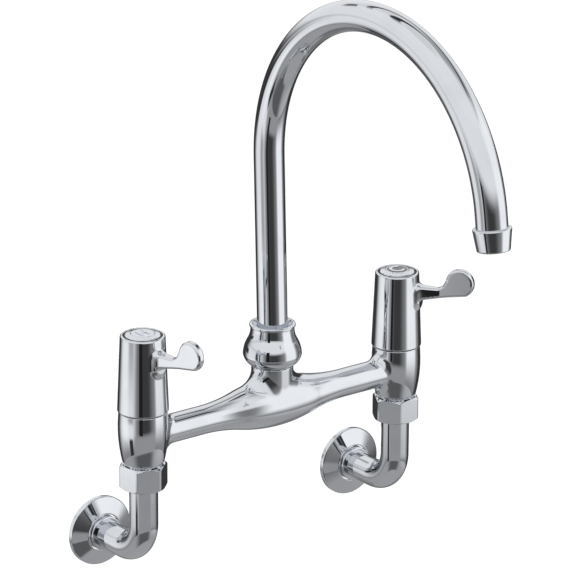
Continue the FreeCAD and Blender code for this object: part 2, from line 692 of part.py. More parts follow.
def lever_handle(side):
    """Barrel with its lever, hollow below and recessed for the index cap above."""
    body = at_valve(side, BARREL_BASE, lever_angle(side), "lever_handle")
    paddle = draw(new_sketch(body, "XZ_Plane"), paddle_outline())
    raise_pad(body, paddle, D.paddle_thickness, both_ways=True)
    half_thickness = D.paddle_thickness.value / 2
    foot = D.paddle_root_reach.value
    round_edges(body, D.lever_edge_round, lambda p: near(abs(p.y), half_thickness),
                spared=lambda p: near(p.x, foot))
    turn(body, [
        (0, 0),
        (D.barrel_bottom_radius, 0),
        (D.barrel_top_radius, D.barrel_height),
        (0, D.barrel_height),
    ])
    round_edges(body, D.barrel_top_round, lambda p: near(p.z, D.barrel_height.value))
    boss = new_sketch(body, "YZ_Plane")
    rise = D.barrel_height - D.boss_drop
    straight = D.boss_half_height - D.boss_radius
    bow = D.boss_radius * JUST_OVER
    draw(boss, [
        (D.boss_radius, rise - straight),
        (D.boss_radius, rise + straight, bow),
        (-D.boss_radius, rise + straight),
        (-D.boss_radius, rise - straight, bow),
    ])
    raise_pad(body, boss, D.boss_reach)
    front = D.boss_reach.value
    round_edges(body, D.boss_round, lambda p: near(p.x, front))
    lever_arm(body)
    turn(body, [
        (0, -OVERSHOOT),
        (D.skirt_radius, -OVERSHOOT),
        (D.skirt_radius, D.skirt_depth),
        (D.barrel_bore_radius, D.skirt_depth),
        (D.barrel_bore_radius, D.barrel_bore_depth),
        (D.bush_radius + D.running_gap, D.barrel_bore_depth),
        (D.bush_radius + D.running_gap, BUSH_CEILING),
        (D.screw_radius + D.thread_gap, BUSH_CEILING),
        (D.screw_radius + D.thread_gap, SCREW_SEAT),
        (D.screw_head_radius + D.screw_head_gap, SCREW_SEAT),
        (D.screw_head_radius + D.screw_head_gap, CAP_FLOOR),
        (D.recess_radius, CAP_FLOOR),
        (D.recess_radius, D.barrel_height + OVERSHOOT),
        (0, D.barrel_height + OVERSHOOT),
    ], cut=True)


def paddle_outline():
    """Round paddle that stands on the arm, with a hollow curve on the side of the barrel."""
    across, rise, radius = D.lever_reach, D.barrel_height - D.paddle_drop, D.paddle_radius
    inner, low = radius * cosine(D.paddle_inner_angle), radius * cosine(D.paddle_low_angle)
    return [
        (D.paddle_root_reach, ARM_TOP, D.paddle_root_curve),
        (across - inner, rise + radius * sine(D.paddle_inner_angle), -radius),
        (across + radius, rise, -radius),
        (across + low, rise - radius * sine(D.paddle_low_angle)),
        (D.paddle_root_reach, ARM_TOP - D.paddle_root_depth),
    ]


def lever_arm(body):
    """Arm that narrows from the boss to the paddle, flat on top."""
    root, tip = D.barrel_top_radius * HALF, D.lever_reach - D.paddle_radius * HALF
    sections = []
    for place, width, height in ((root, D.arm_root_width, D.arm_root_height),
                                 (tip, D.arm_tip_width, D.arm_tip_height)):
        section = new_sketch(body, "YZ_Plane", (0, 0, place))
        draw(section, box_corners(-(width * HALF), width * HALF, ARM_TOP - height, ARM_TOP))
        sections.append(section)
    loft = body.newObject("PartDesign::AdditiveLoft", body.Label + "_loft")
    loft.Profile = sections[0]
    loft.Sections = [sections[1]]
    document.recompute()


def index_cap(side):
    body = at_valve(side, BARREL_BASE + CAP_FLOOR + D.seat_gap, lever_angle(side), "index_cap")
    top = D.recess_depth - D.cap_sink
    under = top - D.cap_thickness
    edge = D.recess_radius - D.cap_gap
    inner = D.cap_skirt_radius - D.cap_skirt_wall
    turn(body, [
        (0, under),
        (inner, under),
        (inner, 0),
        (D.cap_skirt_radius, 0),
        (D.cap_skirt_radius, under),
        (edge, under),
        (edge, top - D.cap_chamfer),
        (edge - D.cap_chamfer, top),
        (0, top),
    ])
    letter = letter_h() if side == "hot" else letter_c()
    sketch = draw(new_sketch(body, "XY_Plane", (0, 0, top)), letter)
    cut_pocket(body, sketch, D.letter_depth)


def letter_h():
    """Outline of a plain H, read from in front of the lever."""
    tall, wide = D.letter_height * HALF, D.letter_width * HALF
    leg, bar = wide - D.letter_stroke, D.letter_stroke * HALF
    quarter = [(tall, wide), (tall, leg), (bar, leg)]
    mirrored = [(across, -along) for across, along in reversed(quarter)]
    upper = quarter + mirrored
    lower = [(-across, -along) for across, along in upper]
    return upper + lower


def letter_c():
    """Outline of a plain C built of a square bow."""
    tall, wide = D.letter_height * HALF, D.letter_width * HALF
    stroke = D.letter_stroke
    return [
        (tall, wide),
        (tall, -wide),
        (tall - stroke, -wide),
        (tall - stroke, wide - stroke),
        (stroke - tall, wide - stroke),
        (stroke - tall, -wide),
        (-tall, -wide),
        (-tall, wide),
    ]


def handle_screw(side):
    body = at_valve(side, BARREL_BASE + SCREW_SEAT + D.seat_gap, lever_angle(side), "handle_screw")
    turn(body, [
        (0, -D.screw_length),
        (D.screw_radius, -D.screw_length),
        (D.screw_radius, 0),
        (D.screw_head_radius, 0),
        (D.screw_head_radius, D.screw_head_height * HALF),
        (D.screw_crown_radius, D.screw_head_height),
        (0, D.screw_head_height),
    ])
    reach, half = D.screw_head_radius + OVERSHOOT, D.screw_slot * HALF
    slot = draw(new_sketch(body, "XY_Plane", (0, 0, D.screw_head_height)),
                box_corners(-reach, reach, -half, half))
    cut_pocket(body, slot, D.screw_head_height * HALF)


def drive_bush(side):
    """Toothed plastic bush between the spindle and the handle."""
    body = at_valve(side, BARREL_BASE + SPLINE_LOW + D.seat_gap, lever_angle(side), "drive_bush")
    height = BUSH_CEILING - SPLINE_LOW - D.seat_gap - D.seat_gap
    bore = D.spindle_radius + D.running_gap
    turn(body, box_corners(bore, D.bush_radius, 0, height))
    tooth = draw_circle(new_sketch(body, "XY_Plane"), D.spline_groove_radius - D.running_gap,
                        bore, 0)
    repeat_round(body, raise_pad(body, tooth, height), D.spline_count)


# --- ceramic disc valves ---------------------------------------------------------------------

def bonnet_washer(side):
    body = at_valve(side, BARREL_BASE - D.handle_gap, 0, "bonnet_washer")
    turn(body, box_corners(SOCKET_BORE, D.bonnet_flange_radius, 0, D.bonnet_washer_thickness))


def valve_bonnet(side):
    """Screwed headwork: flange, hexagon, guide tube, and the cage that holds the discs."""
    body = at_valve(side, BARREL_BASE, 0, "valve_bonnet")
    flange_low = D.bonnet_washer_thickness - D.handle_gap
    flange_high = flange_low + D.bonnet_flange_height
    hex_high = flange_high + D.bonnet_hex_height
    thread_low = -D.handle_gap - D.thread_depth + D.seat_gap
    cage_low = D.seat_gap - SEAT_DROP
    turn(body, [
        (0, cage_low),
        (D.cage_radius, cage_low),
        (D.cage_radius, thread_low),
        (D.pipe_thread_radius, thread_low),
        (D.pipe_thread_radius, flange_low),
        (D.bonnet_flange_radius, flange_low),
        (D.bonnet_flange_radius, flange_high),
        (D.guide_radius, flange_high),
        (D.guide_radius, GUIDE_TOP),
        (0, GUIDE_TOP),
    ])
    hexagon = draw(new_sketch(body, "XY_Plane", (0, 0, flange_high)),
                   hexagon_corners(D.bonnet_flats))
    raise_pad(body, hexagon, hex_high - flange_high)
    bore = D.spindle_radius + D.running_gap
    turn(body, [
        (0, cage_low - OVERSHOOT),
        (D.cage_bore_radius, cage_low - OVERSHOOT),
        (D.cage_bore_radius, -D.cage_ceiling),
        (bore, -D.cage_ceiling),
        (bore, GUIDE_TOP + OVERSHOOT),
        (0, GUIDE_TOP + OVERSHOOT),
    ], cut=True)
    window = draw(new_sketch(body, "YZ_Plane"), box_corners(
        -(D.window_width * HALF), D.window_width * HALF,
        -D.cage_ceiling - D.window_height, -D.cage_ceiling))
    cut_pocket(body, window, (D.cage_radius + OVERSHOOT) * 2, both_ways=True)


def ring_groove_profile(low, floor_radius, outer_radius):
    """Groove corners of a stem, from below to above, for a ring of round section."""
    height = (outer_radius - floor_radius) * D.oring_room
    return [(outer_radius, low), (floor_radius, low), (floor_radius, low + height),
            (outer_radius, low + height)]


def valve_spindle(side):
    body = at_valve(side, BARREL_BASE, lever_angle(side), "valve_spindle")
    foot_low = -D.cage_ceiling - D.foot_height - D.seat_gap
    foot_high = -D.cage_ceiling - D.seat_gap
    clip_low = GUIDE_TOP + D.seat_gap * HALF
    clip_high = clip_low + D.clip_thickness + D.seat_gap
    turn(body, [
        (0, foot_low),
        (D.foot_radius, foot_low),
        (D.foot_radius, foot_high),
        (D.spindle_radius, foot_high),
    ] + ring_groove_profile(D.oring_low_rise, D.oring_floor_radius, D.spindle_radius)
      + ring_groove_profile(D.oring_high_rise, D.oring_floor_radius, D.spindle_radius) + [
        (D.spindle_radius, clip_low),
        (D.clip_floor_radius, clip_low),
        (D.clip_floor_radius, clip_high),
        (D.spindle_radius, clip_high),
        (D.spindle_radius, SPINDLE_TOP),
        (D.screw_radius + D.thread_gap, SPINDLE_TOP),
        (D.screw_radius + D.thread_gap, SPLINE_LOW),
        (0, SPLINE_LOW),
    ])
    lug = draw(new_sketch(body, "XY_Plane", (0, 0, foot_low)), lug_corners(0))
    repeat_round(body, raise_pad(body, lug, D.lug_height, downwards=True), 2)
    groove = draw_circle(new_sketch(body, "XY_Plane", (0, 0, SPINDLE_TOP)),
                         D.spline_groove_radius, D.spindle_radius + D.running_gap, 0)
    repeat_round(body, cut_pocket(body, groove, D.spline_length), D.spline_count)


def lug_corners(play):
    """One drive lug, or its slot with some play all round."""
    inner = D.lug_offset - D.lug_length * HALF - play
    outer = D.lug_offset + D.lug_length * HALF + play
    half = D.lug_width * HALF + play
    return box_corners(inner, outer, -half, half)


def spindle_orings(side):
    """Two rubber rings in the grooves of the spindle."""
    body = at_valve(side, BARREL_BASE, lever_angle(side), "spindle_orings")
    outer = D.spindle_radius + D.running_gap * HALF
    thickness = (outer - D.oring_floor_radius) * HALF
    groove = (D.spindle_radius - D.oring_floor_radius) * D.oring_room
    for low in (D.oring_low_rise, D.oring_high_rise):
        sketch = draw_circle(new_sketch(body, "XZ_Plane"), thickness,
                             D.oring_floor_radius + thickness, low + groove * HALF)
        revolve = feature(body, "Revolution", sketch)
        revolve.ReferenceAxis = (sketch, ["V_Axis"])
        revolve.Angle = 360
        revolve.AllowMultiFace = True
        document.recompute()


def spindle_circlip(side):
    body = at_valve(side, BARREL_BASE + GUIDE_TOP + D.seat_gap, lever_angle(side),
                    "spindle_circlip")
    turn(body, box_corners(D.clip_floor_radius + D.running_gap, D.clip_outer_radius,
                           0, D.clip_thickness))
    opening = draw(new_sketch(body, "XY_Plane"), box_corners(
        -(D.clip_opening * HALF), D.clip_opening * HALF, 0, D.clip_outer_radius + OVERSHOOT))
    cut_pocket(body, opening, D.clip_thickness, upwards=True)


def disc(side, label, height, angle):
    """Ceramic disc with two ports that stand opposite each other."""
    body = at_valve(side, height, angle, label)
    turn(body, box_corners(0, D.disc_radius, -D.disc_thickness, 0))
    port = draw_circle(new_sketch(body, "XY_Plane"), D.disc_port_radius, D.disc_port_offset, 0)
    repeat_round(body, cut_pocket(body, port, D.disc_thickness), 2)
    return body


def moving_disc(side):
    """Turns with the lever. Its ports lie across those of the fixed disc when it is closed."""
    body = disc(side, "moving_disc", BARREL_BASE - DISC_TOP, lever_angle(side) + 90)
    slot = [(-along, across) for across, along in lug_corners(D.lug_play)]
    sketch = draw(new_sketch(body, "XY_Plane"), slot)
    repeat_round(body, cut_pocket(body, sketch, D.lug_height + D.seat_gap), 2)


def fixed_disc(side):
    across_ports = -SIDES[side] * D.closed_angle
    disc(side, "fixed_disc", BARREL_BASE - DISC_TOP - D.disc_thickness - D.seat_gap, across_ports + 90)


def seat_seal(side):
    top = DISC_TOP + 2 * D.disc_thickness + 2 * D.seat_gap
    body = at_valve(side, BARREL_BASE - SEAT_DROP, 0, "seat_seal")
    turn(body, box_corners(D.seal_inner_radius, D.disc_radius, 0, SEAT_DROP - top))


# --- spout swivel ----------------------------------------------------------------------------

def at_spout(label, height):
    return new_body(label, (0, SPOUT_Y, height))


def spout_tail():
    """Turned tail: spigot with two O-ring grooves, flange, and the stub inside the tube."""
    body = at_spout("spout_tail", TAIL_BASE)
    flange_low = TAIL_FLANGE_BASE - TAIL_BASE
    flange_high = flange_low + D.tail_flange_height
    stub_radius = D.tube_bore_radius - D.thread_gap
    turn(body, [
        (D.tail_bore_radius, 0),
        (D.tail_radius, 0),
    ] + ring_groove_profile(D.spout_oring_low, D.spout_oring_floor_radius, D.tail_radius)
      + ring_groove_profile(D.spout_oring_high, D.spout_oring_floor_radius, D.tail_radius) + [
        (D.tail_radius, flange_low),
        (D.tail_flange_radius, flange_low),
        (D.tail_flange_radius, flange_high),
        (stub_radius, flange_high),
        (stub_radius, flange_high + D.tail_stub_height),
        (D.tail_bore_radius, flange_high + D.tail_stub_height),
    ])


def spout_oring(label, low):
    body = at_spout(label, TAIL_BASE)
    outer = D.tail_radius + (D.socket_radius - D.tail_radius) * HALF
    thickness = (outer - D.spout_oring_floor_radius) * HALF
    groove = (D.tail_radius - D.spout_oring_floor_radius) * D.oring_room
    sketch = draw_circle(new_sketch(body, "XZ_Plane"), thickness,
                         D.spout_oring_floor_radius + thickness, low + groove * HALF)
    revolve = feature(body, "Revolution", sketch)
    revolve.ReferenceAxis = (sketch, ["V_Axis"])
    revolve.Angle = 360
    document.recompute()


def glide_ring():
    body = at_spout("glide_ring", NECK_TOP + D.seat_gap)
    turn(body, box_corners(D.tail_radius + D.running_gap, D.pipe_thread_radius,
                           0, D.glide_thickness))


def guide_ring():
    """Keeps the tube upright in the collar and holds the tail flange down."""
    body = at_spout("guide_ring", TUBE_BASE + D.seat_gap)
    turn(body, box_corners(D.tube_radius + D.running_gap, D.pipe_thread_radius,
                           0, D.guide_ring_height))


def spout_collar():
    """Bell-shaped shroud nut on the neck, open round the tube at its top."""
    body = at_spout("spout_collar", D.bridge_height + D.neck_rise + D.seat_gap)
    lip_low = TUBE_BASE + D.guide_ring_height + 2 * D.seat_gap - D.bridge_height - D.neck_rise
    lip_low = lip_low - D.seat_gap
    turn(body, [
        (SOCKET_BORE, 0),
        (D.collar_bottom_radius, 0, D.collar_foot_curve),
        (D.collar_belly_radius, D.collar_belly_rise, D.collar_belly_curve),
        (D.collar_waist_radius, D.collar_waist_rise, -D.collar_waist_curve),
        (D.collar_neck_radius, D.collar_neck_rise),
        (D.collar_top_radius, D.collar_height - D.collar_rim_height, D.collar_rim_curve),
        (D.collar_top_radius - D.collar_rim_width, D.collar_height),
        (D.collar_mouth_radius, D.collar_height),
        (D.collar_lip_radius, lip_low + D.collar_lip_height),
        (D.collar_lip_radius, lip_low),
        (SOCKET_BORE, lip_low),
    ])


# --- spout -----------------------------------------------------------------------------------

def spout_path():
    """Corners of the centre line in the YZ plane, from the foot of the tube."""
    lean, bend, arch = D.lean_angle, D.lean_bend_radius, D.arch_radius
    lean_y = bend * (1 - cosine(lean))
    lean_z = D.entry_length + bend * sine(lean)
    riser_y = lean_y + D.riser_length * sine(lean)
    riser_z = lean_z + D.riser_length * cosine(lean)
    centre_y = riser_y - arch * cosine(lean)
    centre_z = riser_z + arch * sine(lean)
    end = D.arch_end_angle
    crown = (centre_y, centre_z + arch)
    arch_end = (centre_y + arch * cosine(end), centre_z + arch * sine(end))
    return (lean_y, lean_z), (riser_y, riser_z), crown, arch_end


def along_outlet(length):
    """Point of the outlet run, a given length after the end of the arch."""
    arch_end = spout_path()[3]
    end = D.arch_end_angle
    return arch_end[0] - length * sine(end), arch_end[1] + length * cosine(end)


def spout_tube():
    body = at_spout("spout_tube", TUBE_BASE)
    lean, riser, crown, arch_end = spout_path()
    arch = D.arch_radius
    sweep(body, [
        (0, 0),
        (0, D.entry_length, -D.lean_bend_radius),
        lean,
        riser + (arch,),
        crown + (arch,),
        arch_end,
        along_outlet(D.outlet_run + D.nozzle_grip),
    ], (D.tube_radius, D.tube_bore_radius))


def at_nozzle(label):
    """Body whose +Z points back up the outlet, with its origin at the top of the nozzle."""
    y, z = along_outlet(D.outlet_run)
    return new_body(label, (0, SPOUT_Y + y, TUBE_BASE + z), FreeCAD.Vector(1, 0, 0),
                    D.arch_end_angle - 180)


def spout_nozzle():
    body = at_nozzle("spout_nozzle")
    grip = D.nozzle_grip + D.seat_gap
    lip_high = D.nozzle_lip_height - D.nozzle_height
    bore = D.tube_radius + D.thread_gap
    turn(body, [
        (D.nozzle_lip_radius, -D.nozzle_height),
        (D.nozzle_bottom_radius, -D.nozzle_height),
        (D.nozzle_top_radius, 0),
        (bore, 0),
        (bore, -grip),
        (D.nozzle_chamber_radius, -grip),
        (D.nozzle_chamber_radius, lip_high),
        (D.nozzle_lip_radius, lip_high),
    ])
    outer_edges = ((D.nozzle_top_radius.value, 0), (D.nozzle_bottom_radius.value,
                                                    -D.nozzle_height.value))
    round_edges(body, D.nozzle_round, lambda p: any(
        near(math.hypot(p.x, p.y), radius) and near(p.z, height)
        for radius, height in outer_edges))


def nozzle_washer():
    body = at_nozzle("nozzle_washer")
    top = -D.nozzle_grip - 2 * D.seat_gap
    turn(body, box_corners(D.nozzle_washer_radius, D.nozzle_chamber_radius - D.thread_gap,
                           top - D.nozzle_washer_thickness, top))


def flow_straightener():
    """Perforated plastic insert in the mouth of the nozzle."""
    body = at_nozzle("flow_straightener")
    top = -D.nozzle_grip - 3 * D.seat_gap - D.nozzle_washer_thickness
    low = D.nozzle_lip_height - D.nozzle_height + D.seat_gap
    turn(body, box_corners(0, D.nozzle_chamber_radius - D.thread_gap, low, top))
    rings = ((D.straightener_inner_ring, D.straightener_inner_count),
             (D.straightener_outer_ring, D.straightener_outer_count))
    for offset, count in rings:
        hole = draw_circle(new_sketch(body, "XY_Plane", (0, 0, top)),
                           D.straightener_hole_radius, offset, 0)
        repeat_round(body, cut_pocket(body, hole, top - low), count)


# --- assembly --------------------------------------------------------------------------------

def make_side(side):
    for piece in (wall_flange, inlet_leg, union_washer, union_nut, bonnet_washer, valve_bonnet,
                  valve_spindle, spindle_orings, spindle_circlip, moving_disc, fixed_disc,
                  seat_seal, drive_bush, lever_handle, handle_screw, index_cap):
        piece(side)


def make_spout():
    spout_tail()
    spout_oring("spout_oring_low", D.spout_oring_low)
    spout_oring("spout_oring_high", D.spout_oring_high)
    for piece in (glide_ring, guide_ring, spout_collar, spout_tube, spout_nozzle, nozzle_washer,
                  flow_straightener):
        piece()


def check_and_export():
    """Refuses a failed object or an invalid shape before any file is written."""
    document.recompute()
    for item in document.Objects:
        if "Invalid" in item.State or "Error" in item.State:
            raise ValueError("%s failed: %s" % (item.Label, item.State))
    bodies = [item for item in document.Objects if item.isDerivedFrom("PartDesign::Body")]
    for body in bodies:
        if body.Shape.isNull() or not body.Shape.isValid() or not body.Shape.Solids:
            raise ValueError("%s has no valid solid" % body.Label)
    os.makedirs("parts", exist_ok=True)
    for body in bodies:
        body.Shape.exportStep("parts/%s.step" % body.Label)
        print(body.Label, len(body.Shape.Solids), round(body.Shape.Volume, 2))


bridge_body()
for side_name in SIDES:
    make_side(side_name)
make_spout()
check_and_export()
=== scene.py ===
import json
import math

import bmesh
import bpy
import numpy as np
from mathutils import Matrix, Vector


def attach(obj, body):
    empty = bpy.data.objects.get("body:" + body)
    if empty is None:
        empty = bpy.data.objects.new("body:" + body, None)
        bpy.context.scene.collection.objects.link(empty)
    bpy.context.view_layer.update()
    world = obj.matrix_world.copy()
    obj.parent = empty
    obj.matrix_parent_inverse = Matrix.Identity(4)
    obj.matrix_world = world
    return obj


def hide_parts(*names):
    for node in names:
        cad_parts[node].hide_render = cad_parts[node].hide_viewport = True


# Wall-mounted bridge faucet in polished chrome. Sizes are millimetres in the row frame: +X
# towards the cold side, +Y into the wall, +Z up, origin on the wall face midway between the
# inlets.

MM = 0.001
SIDES = {"hot": -1, "cold": 1}

VALVE_X = 90.0
AXIS_Y = -45.0
BRIDGE_Z = 71.5
BARREL_Z = 87.0
BARREL_HEIGHT = 44.5
LEVER_ANGLE = {"hot": -81.0, "cold": -57.0}
NUT_ANGLE = {"hot": 38.7, "cold": 4.2}

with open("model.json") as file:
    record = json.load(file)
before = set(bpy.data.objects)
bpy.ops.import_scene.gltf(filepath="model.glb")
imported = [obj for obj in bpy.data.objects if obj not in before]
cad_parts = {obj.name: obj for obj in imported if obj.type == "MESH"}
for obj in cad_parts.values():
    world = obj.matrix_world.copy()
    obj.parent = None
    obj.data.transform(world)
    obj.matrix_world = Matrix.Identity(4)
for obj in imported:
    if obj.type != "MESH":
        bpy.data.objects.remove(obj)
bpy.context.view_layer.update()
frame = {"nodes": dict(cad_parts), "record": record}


# --- mesh tools ------------------------------------------------------------------------------

def new_piece(name, mesh, body, slot, *nodes):
    """A finished mesh as a piece that rides on a body and stands for CAD nodes."""
    piece = bpy.data.objects.new(name, mesh)
    bpy.context.scene.collection.objects.link(piece)
    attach(piece, body)
    if nodes:
        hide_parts(*nodes)
    return piece


def mesh_of(name, points, faces, material, sharp=35.0):
    """Mesh from millimetre points, smooth except across edges sharper than the given angle."""
    mesh = bpy.data.meshes.new(name)
    mesh.from_pydata([tuple(MM * c for c in p) for p in points], [], faces)
    mesh.validate()
    mesh.polygons.foreach_set("use_smooth", [True] * len(mesh.polygons))
    mesh.set_sharp_from_angle(angle=math.radians(sharp))
    mesh.materials.append(material)
    return mesh


def rounded(corners, steps=5):
    """Outline of (r, z, rounding) corners with each rounding as an arc, plus guard points that
    keep the shading of the flats flat."""
    count = len(corners)
    points = []
    for index, (r, z, radius) in enumerate(corners):
        here = Vector((r, z))
        before = Vector(corners[index - 1][:2])
        after = Vector(corners[(index + 1) % count][:2])
        back, ahead = (before - here), (after - here)
        if radius <= 0 or back.length < 1e-6 or ahead.length < 1e-6:
            points.append(here)
            continue
        half = back.angle(ahead) / 2
        trim = min(radius / math.tan(half), back.length * 0.48, ahead.length * 0.48)
        start, end = here + back.normalized() * trim, here + ahead.normalized() * trim
        guard = min(0.25, trim * 0.5)
        points.append(start + back.normalized() * guard)
        for step in range(steps + 1):
            t = step / steps
            points.append(start * (1 - t) ** 2 + here * 2 * t * (1 - t) + end * t * t)
        points.append(end + ahead.normalized() * guard)
    return [(p.x, p.y) for p in points]


def arc_points(start, end, radius, steps):
    """Points from start towards end on an arc that bulges to the right of its chord."""
    a, b = Vector(start), Vector(end)
    chord = b - a
    middle = (a + b) / 2
    normal = Vector((-chord.y, chord.x)).normalized()
    reach = math.sqrt(max(radius * radius - chord.length_squared / 4, 0.0))
    centre = middle + normal * math.copysign(reach, radius)
    first = math.atan2(a.y - centre.y, a.x - centre.x)
    last = math.atan2(b.y - centre.y, b.x - centre.x)
    turn = (last - first + math.pi) % (2 * math.pi) - math.pi
    size = abs(radius)
    return [(centre.x + size * math.cos(first + turn * i / steps),
             centre.y + size * math.sin(first + turn * i / steps)) for i in range(steps)]


def lathe(outline, segments=112):
    """Closed surface of revolution about Z of a closed (r, z) outline. Points on the axis close
    to a pole."""
    points, rings = [], []
    for r, z in outline:
        if r < 1e-6:
            rings.append([len(points)] * segments)
            points.append((0.0, 0.0, z))
            continue
        rings.append(list(range(len(points), len(points) + segments)))
        for step in range(segments):
            angle = 2 * math.pi * step / segments
            points.append((r * math.cos(angle), r * math.sin(angle), z))
    faces = []
    for index, ring in enumerate(rings):
        other = rings[(index + 1) % len(rings)]
        for step in range(segments):
            following = (step + 1) % segments
            corner = []
            for vertex in (ring[step], ring[following], other[following], other[step]):
                if vertex not in corner:
                    corner.append(vertex)
            if len(corner) > 2:
                faces.append(tuple(corner))
    return points, faces


def placed(points, place, tilt=None):
    """Points turned by a rotation and moved to a place."""
    matrix = Matrix.Translation(Vector(place)) @ (tilt.to_4x4() if tilt else Matrix.Identity(4))
    return [tuple(matrix @ Vector(p)) for p in points]


def outwards(mesh):
    """Turns every face outwards on a closed mesh."""
    work = bmesh.new()
    work.from_mesh(mesh)
    bmesh.ops.recalc_face_normals(work, faces=work.faces)
    work.to_mesh(mesh)
    work.free()
    return mesh


def turned_piece(name, outline, place, body, slot, material, *nodes, tilt=None):
    """Piece turned from a closed (r, z) outline, tilted and set in its place."""
    points, faces = lathe(outline)
    mesh = outwards(mesh_of(name, placed(points, place, tilt), faces, material))
    return new_piece(name, mesh, body, slot, *nodes)


# --- skins: surfaces where a field of distances is zero ----------------------------------------

def soft_union(a, b, radius, lean=0.0):
    """Union of two distance fields with a rolling-ball fillet where they meet. Lean is the cosine
    of the angle between the two surfaces' normals."""
    lean = np.clip(lean, -0.95, 0.95)
    u, v = radius - a, radius - b
    away = np.sqrt(np.maximum(u * u + v * v - 2 * lean * u * v, 0) / (1 - lean * lean))
    between = (u > 0) & (v > 0) & (u > lean * v) & (v > lean * u)
    return np.where(between, radius - away, np.minimum(a, b))


def soft_cut(a, b, radius):
    """Intersection of two distance fields with a rounded edge."""
    over_a, over_b = np.maximum(radius + a, 0), np.maximum(radius + b, 0)
    edge = np.sqrt(over_a ** 2 + over_b ** 2) - radius
    return np.where((a > -radius) & (b > -radius), edge, np.maximum(a, b))


def slope_of(field, points, step=0.01):
    """Gradient of a field at each point."""
    gradient = np.empty_like(points)
    for axis in range(3):
        shift = np.zeros(3)
        shift[axis] = step
        gradient[:, axis] = (field(points + shift) - field(points - shift)) / (2 * step)
    return gradient


def skin(name, field, low, high, pitch, material):
    """Mesh of the surface where the field is zero: a grid of cells, one point to each cell that
    the surface crosses, drawn onto the surface, with the field's own normals."""
    axes = [np.arange(low[i] - pitch, high[i] + 2 * pitch, pitch) for i in range(3)]
    grid = np.stack(np.meshgrid(*axes, indexing="ij"), -1)
    shape = grid.shape[:3]
    values = np.concatenate([field(layer.reshape(-1, 3)) for layer in grid]).reshape(shape)
    inside = values < 0
    cells = [slice(0, -1), slice(1, None)]
    corners = [inside[a, b, c] for a in cells for b in cells for c in cells]
    total = sum(corner.astype(int) for corner in corners)
    crossed = (total > 0) & (total < 8)
    number = -np.ones(crossed.shape, int)
    number[crossed] = np.arange(crossed.sum())
    points = grid[:-1, :-1, :-1][crossed] + pitch / 2
    faces = []
    for axis in range(3):
        ahead = [slice(None)] * 3
        ahead[axis] = slice(1, None)
        here = [slice(None)] * 3
        here[axis] = slice(0, -1)
        change = inside[tuple(here)] != inside[tuple(ahead)]
        for i, j, k in np.argwhere(change):
            around = []
            one, two = [(1, 2), (2, 0), (0, 1)][axis]
            for u, v in ((0, 0), (-1, 0), (-1, -1), (0, -1)):
                cell = [i, j, k]
                cell[one] += u
                cell[two] += v
                around.append(number[tuple(cell)])
            faces.append(around if inside[i, j, k] else around[::-1])
    for _ in range(8):
        gradient = slope_of(field, points)
        size = np.maximum((gradient ** 2).sum(1), 0.05)
        step = np.clip(field(points) / size, -pitch, pitch)
        points = points - gradient * step[:, None]
    mesh = bpy.data.meshes.new(name)
    mesh.from_pydata((points * MM).tolist(), [], faces)
    mesh.polygons.foreach_set("use_smooth", [True] * len(mesh.polygons))
    normals = slope_of(field, points)
    normals /= np.linalg.norm(normals, axis=1)[:, None]
    mesh.normals_split_custom_set_from_vertices(normals.tolist())
    mesh.materials.append(material)
    return mesh


# --- shader node groups ------------------------------------------------------------------------

def new_group(name, inputs, outputs):
    """Shader group with named number inputs and typed outputs."""
    group = bpy.data.node_groups.new(name, "ShaderNodeTree")
    for label, default in inputs:
        socket = group.interface.new_socket(label, in_out="INPUT", socket_type="NodeSocketFloat")
        socket.default_value = default
    for label, kind in outputs:
        group.interface.new_socket(label, in_out="OUTPUT", socket_type=kind)
    return group


def add(tree, kind, **settings):
    """New node of a tree, with its settings."""
    node = tree.nodes.new(kind)
    for key, value in settings.items():
        setattr(node, key, value)
    return node


def polish_group():
    """Fine wear of a polished or turned surface: faint smears in the gloss and hairline polishing
    marks in the height."""
    group = new_group("surface_wear", [("Smear scale", 60.0), ("Mark scale", 900.0),
                                       ("Base roughness", 0.05), ("Roughness spread", 0.04),
                                       ("Mark depth", 0.2)],
                      [("Roughness", "NodeSocketFloat"), ("Height", "NodeSocketFloat"),
                       ("Mask", "NodeSocketFloat")])
    nodes, link = group.nodes, group.links.new
    entry = add(group, "NodeGroupInput")
    out = add(group, "NodeGroupOutput")
    place = add(group, "ShaderNodeTexCoord")
    smear = add(group, "ShaderNodeTexNoise", noise_dimensions="3D")
    smear.inputs["Detail"].default_value = 4.0
    smear.inputs["Roughness"].default_value = 0.6
    marks = add(group, "ShaderNodeTexNoise", noise_dimensions="3D")
    marks.inputs["Detail"].default_value = 2.0
    stretch = add(group, "ShaderNodeMapping")
    stretch.inputs["Scale"].default_value = (1.0, 1.0, 0.12)
    link(place.outputs["Object"], smear.inputs["Vector"])
    link(place.outputs["Object"], stretch.inputs["Vector"])
    link(stretch.outputs["Vector"], marks.inputs["Vector"])
    link(entry.outputs["Smear scale"], smear.inputs["Scale"])
    link(entry.outputs["Mark scale"], marks.inputs["Scale"])
    lift = add(group, "ShaderNodeMapRange", interpolation_type="SMOOTHSTEP")
    lift.inputs["From Min"].default_value = 0.42
    lift.inputs["From Max"].default_value = 0.72
    link(smear.outputs["Fac"], lift.inputs["Value"])
    spread = add(group, "ShaderNodeMath", operation="MULTIPLY_ADD")
    link(lift.outputs["Result"], spread.inputs[0])
    link(entry.outputs["Roughness spread"], spread.inputs[1])
    link(entry.outputs["Base roughness"], spread.inputs[2])
    depth = add(group, "ShaderNodeMath", operation="MULTIPLY")
    link(marks.outputs["Fac"], depth.inputs[0])
    link(entry.outputs["Mark depth"], depth.inputs[1])
    link(spread.outputs[0], out.inputs["Roughness"])
    link(depth.outputs[0], out.inputs["Height"])
    link(lift.outputs["Result"], out.inputs["Mask"])
    return group


WEAR = polish_group()


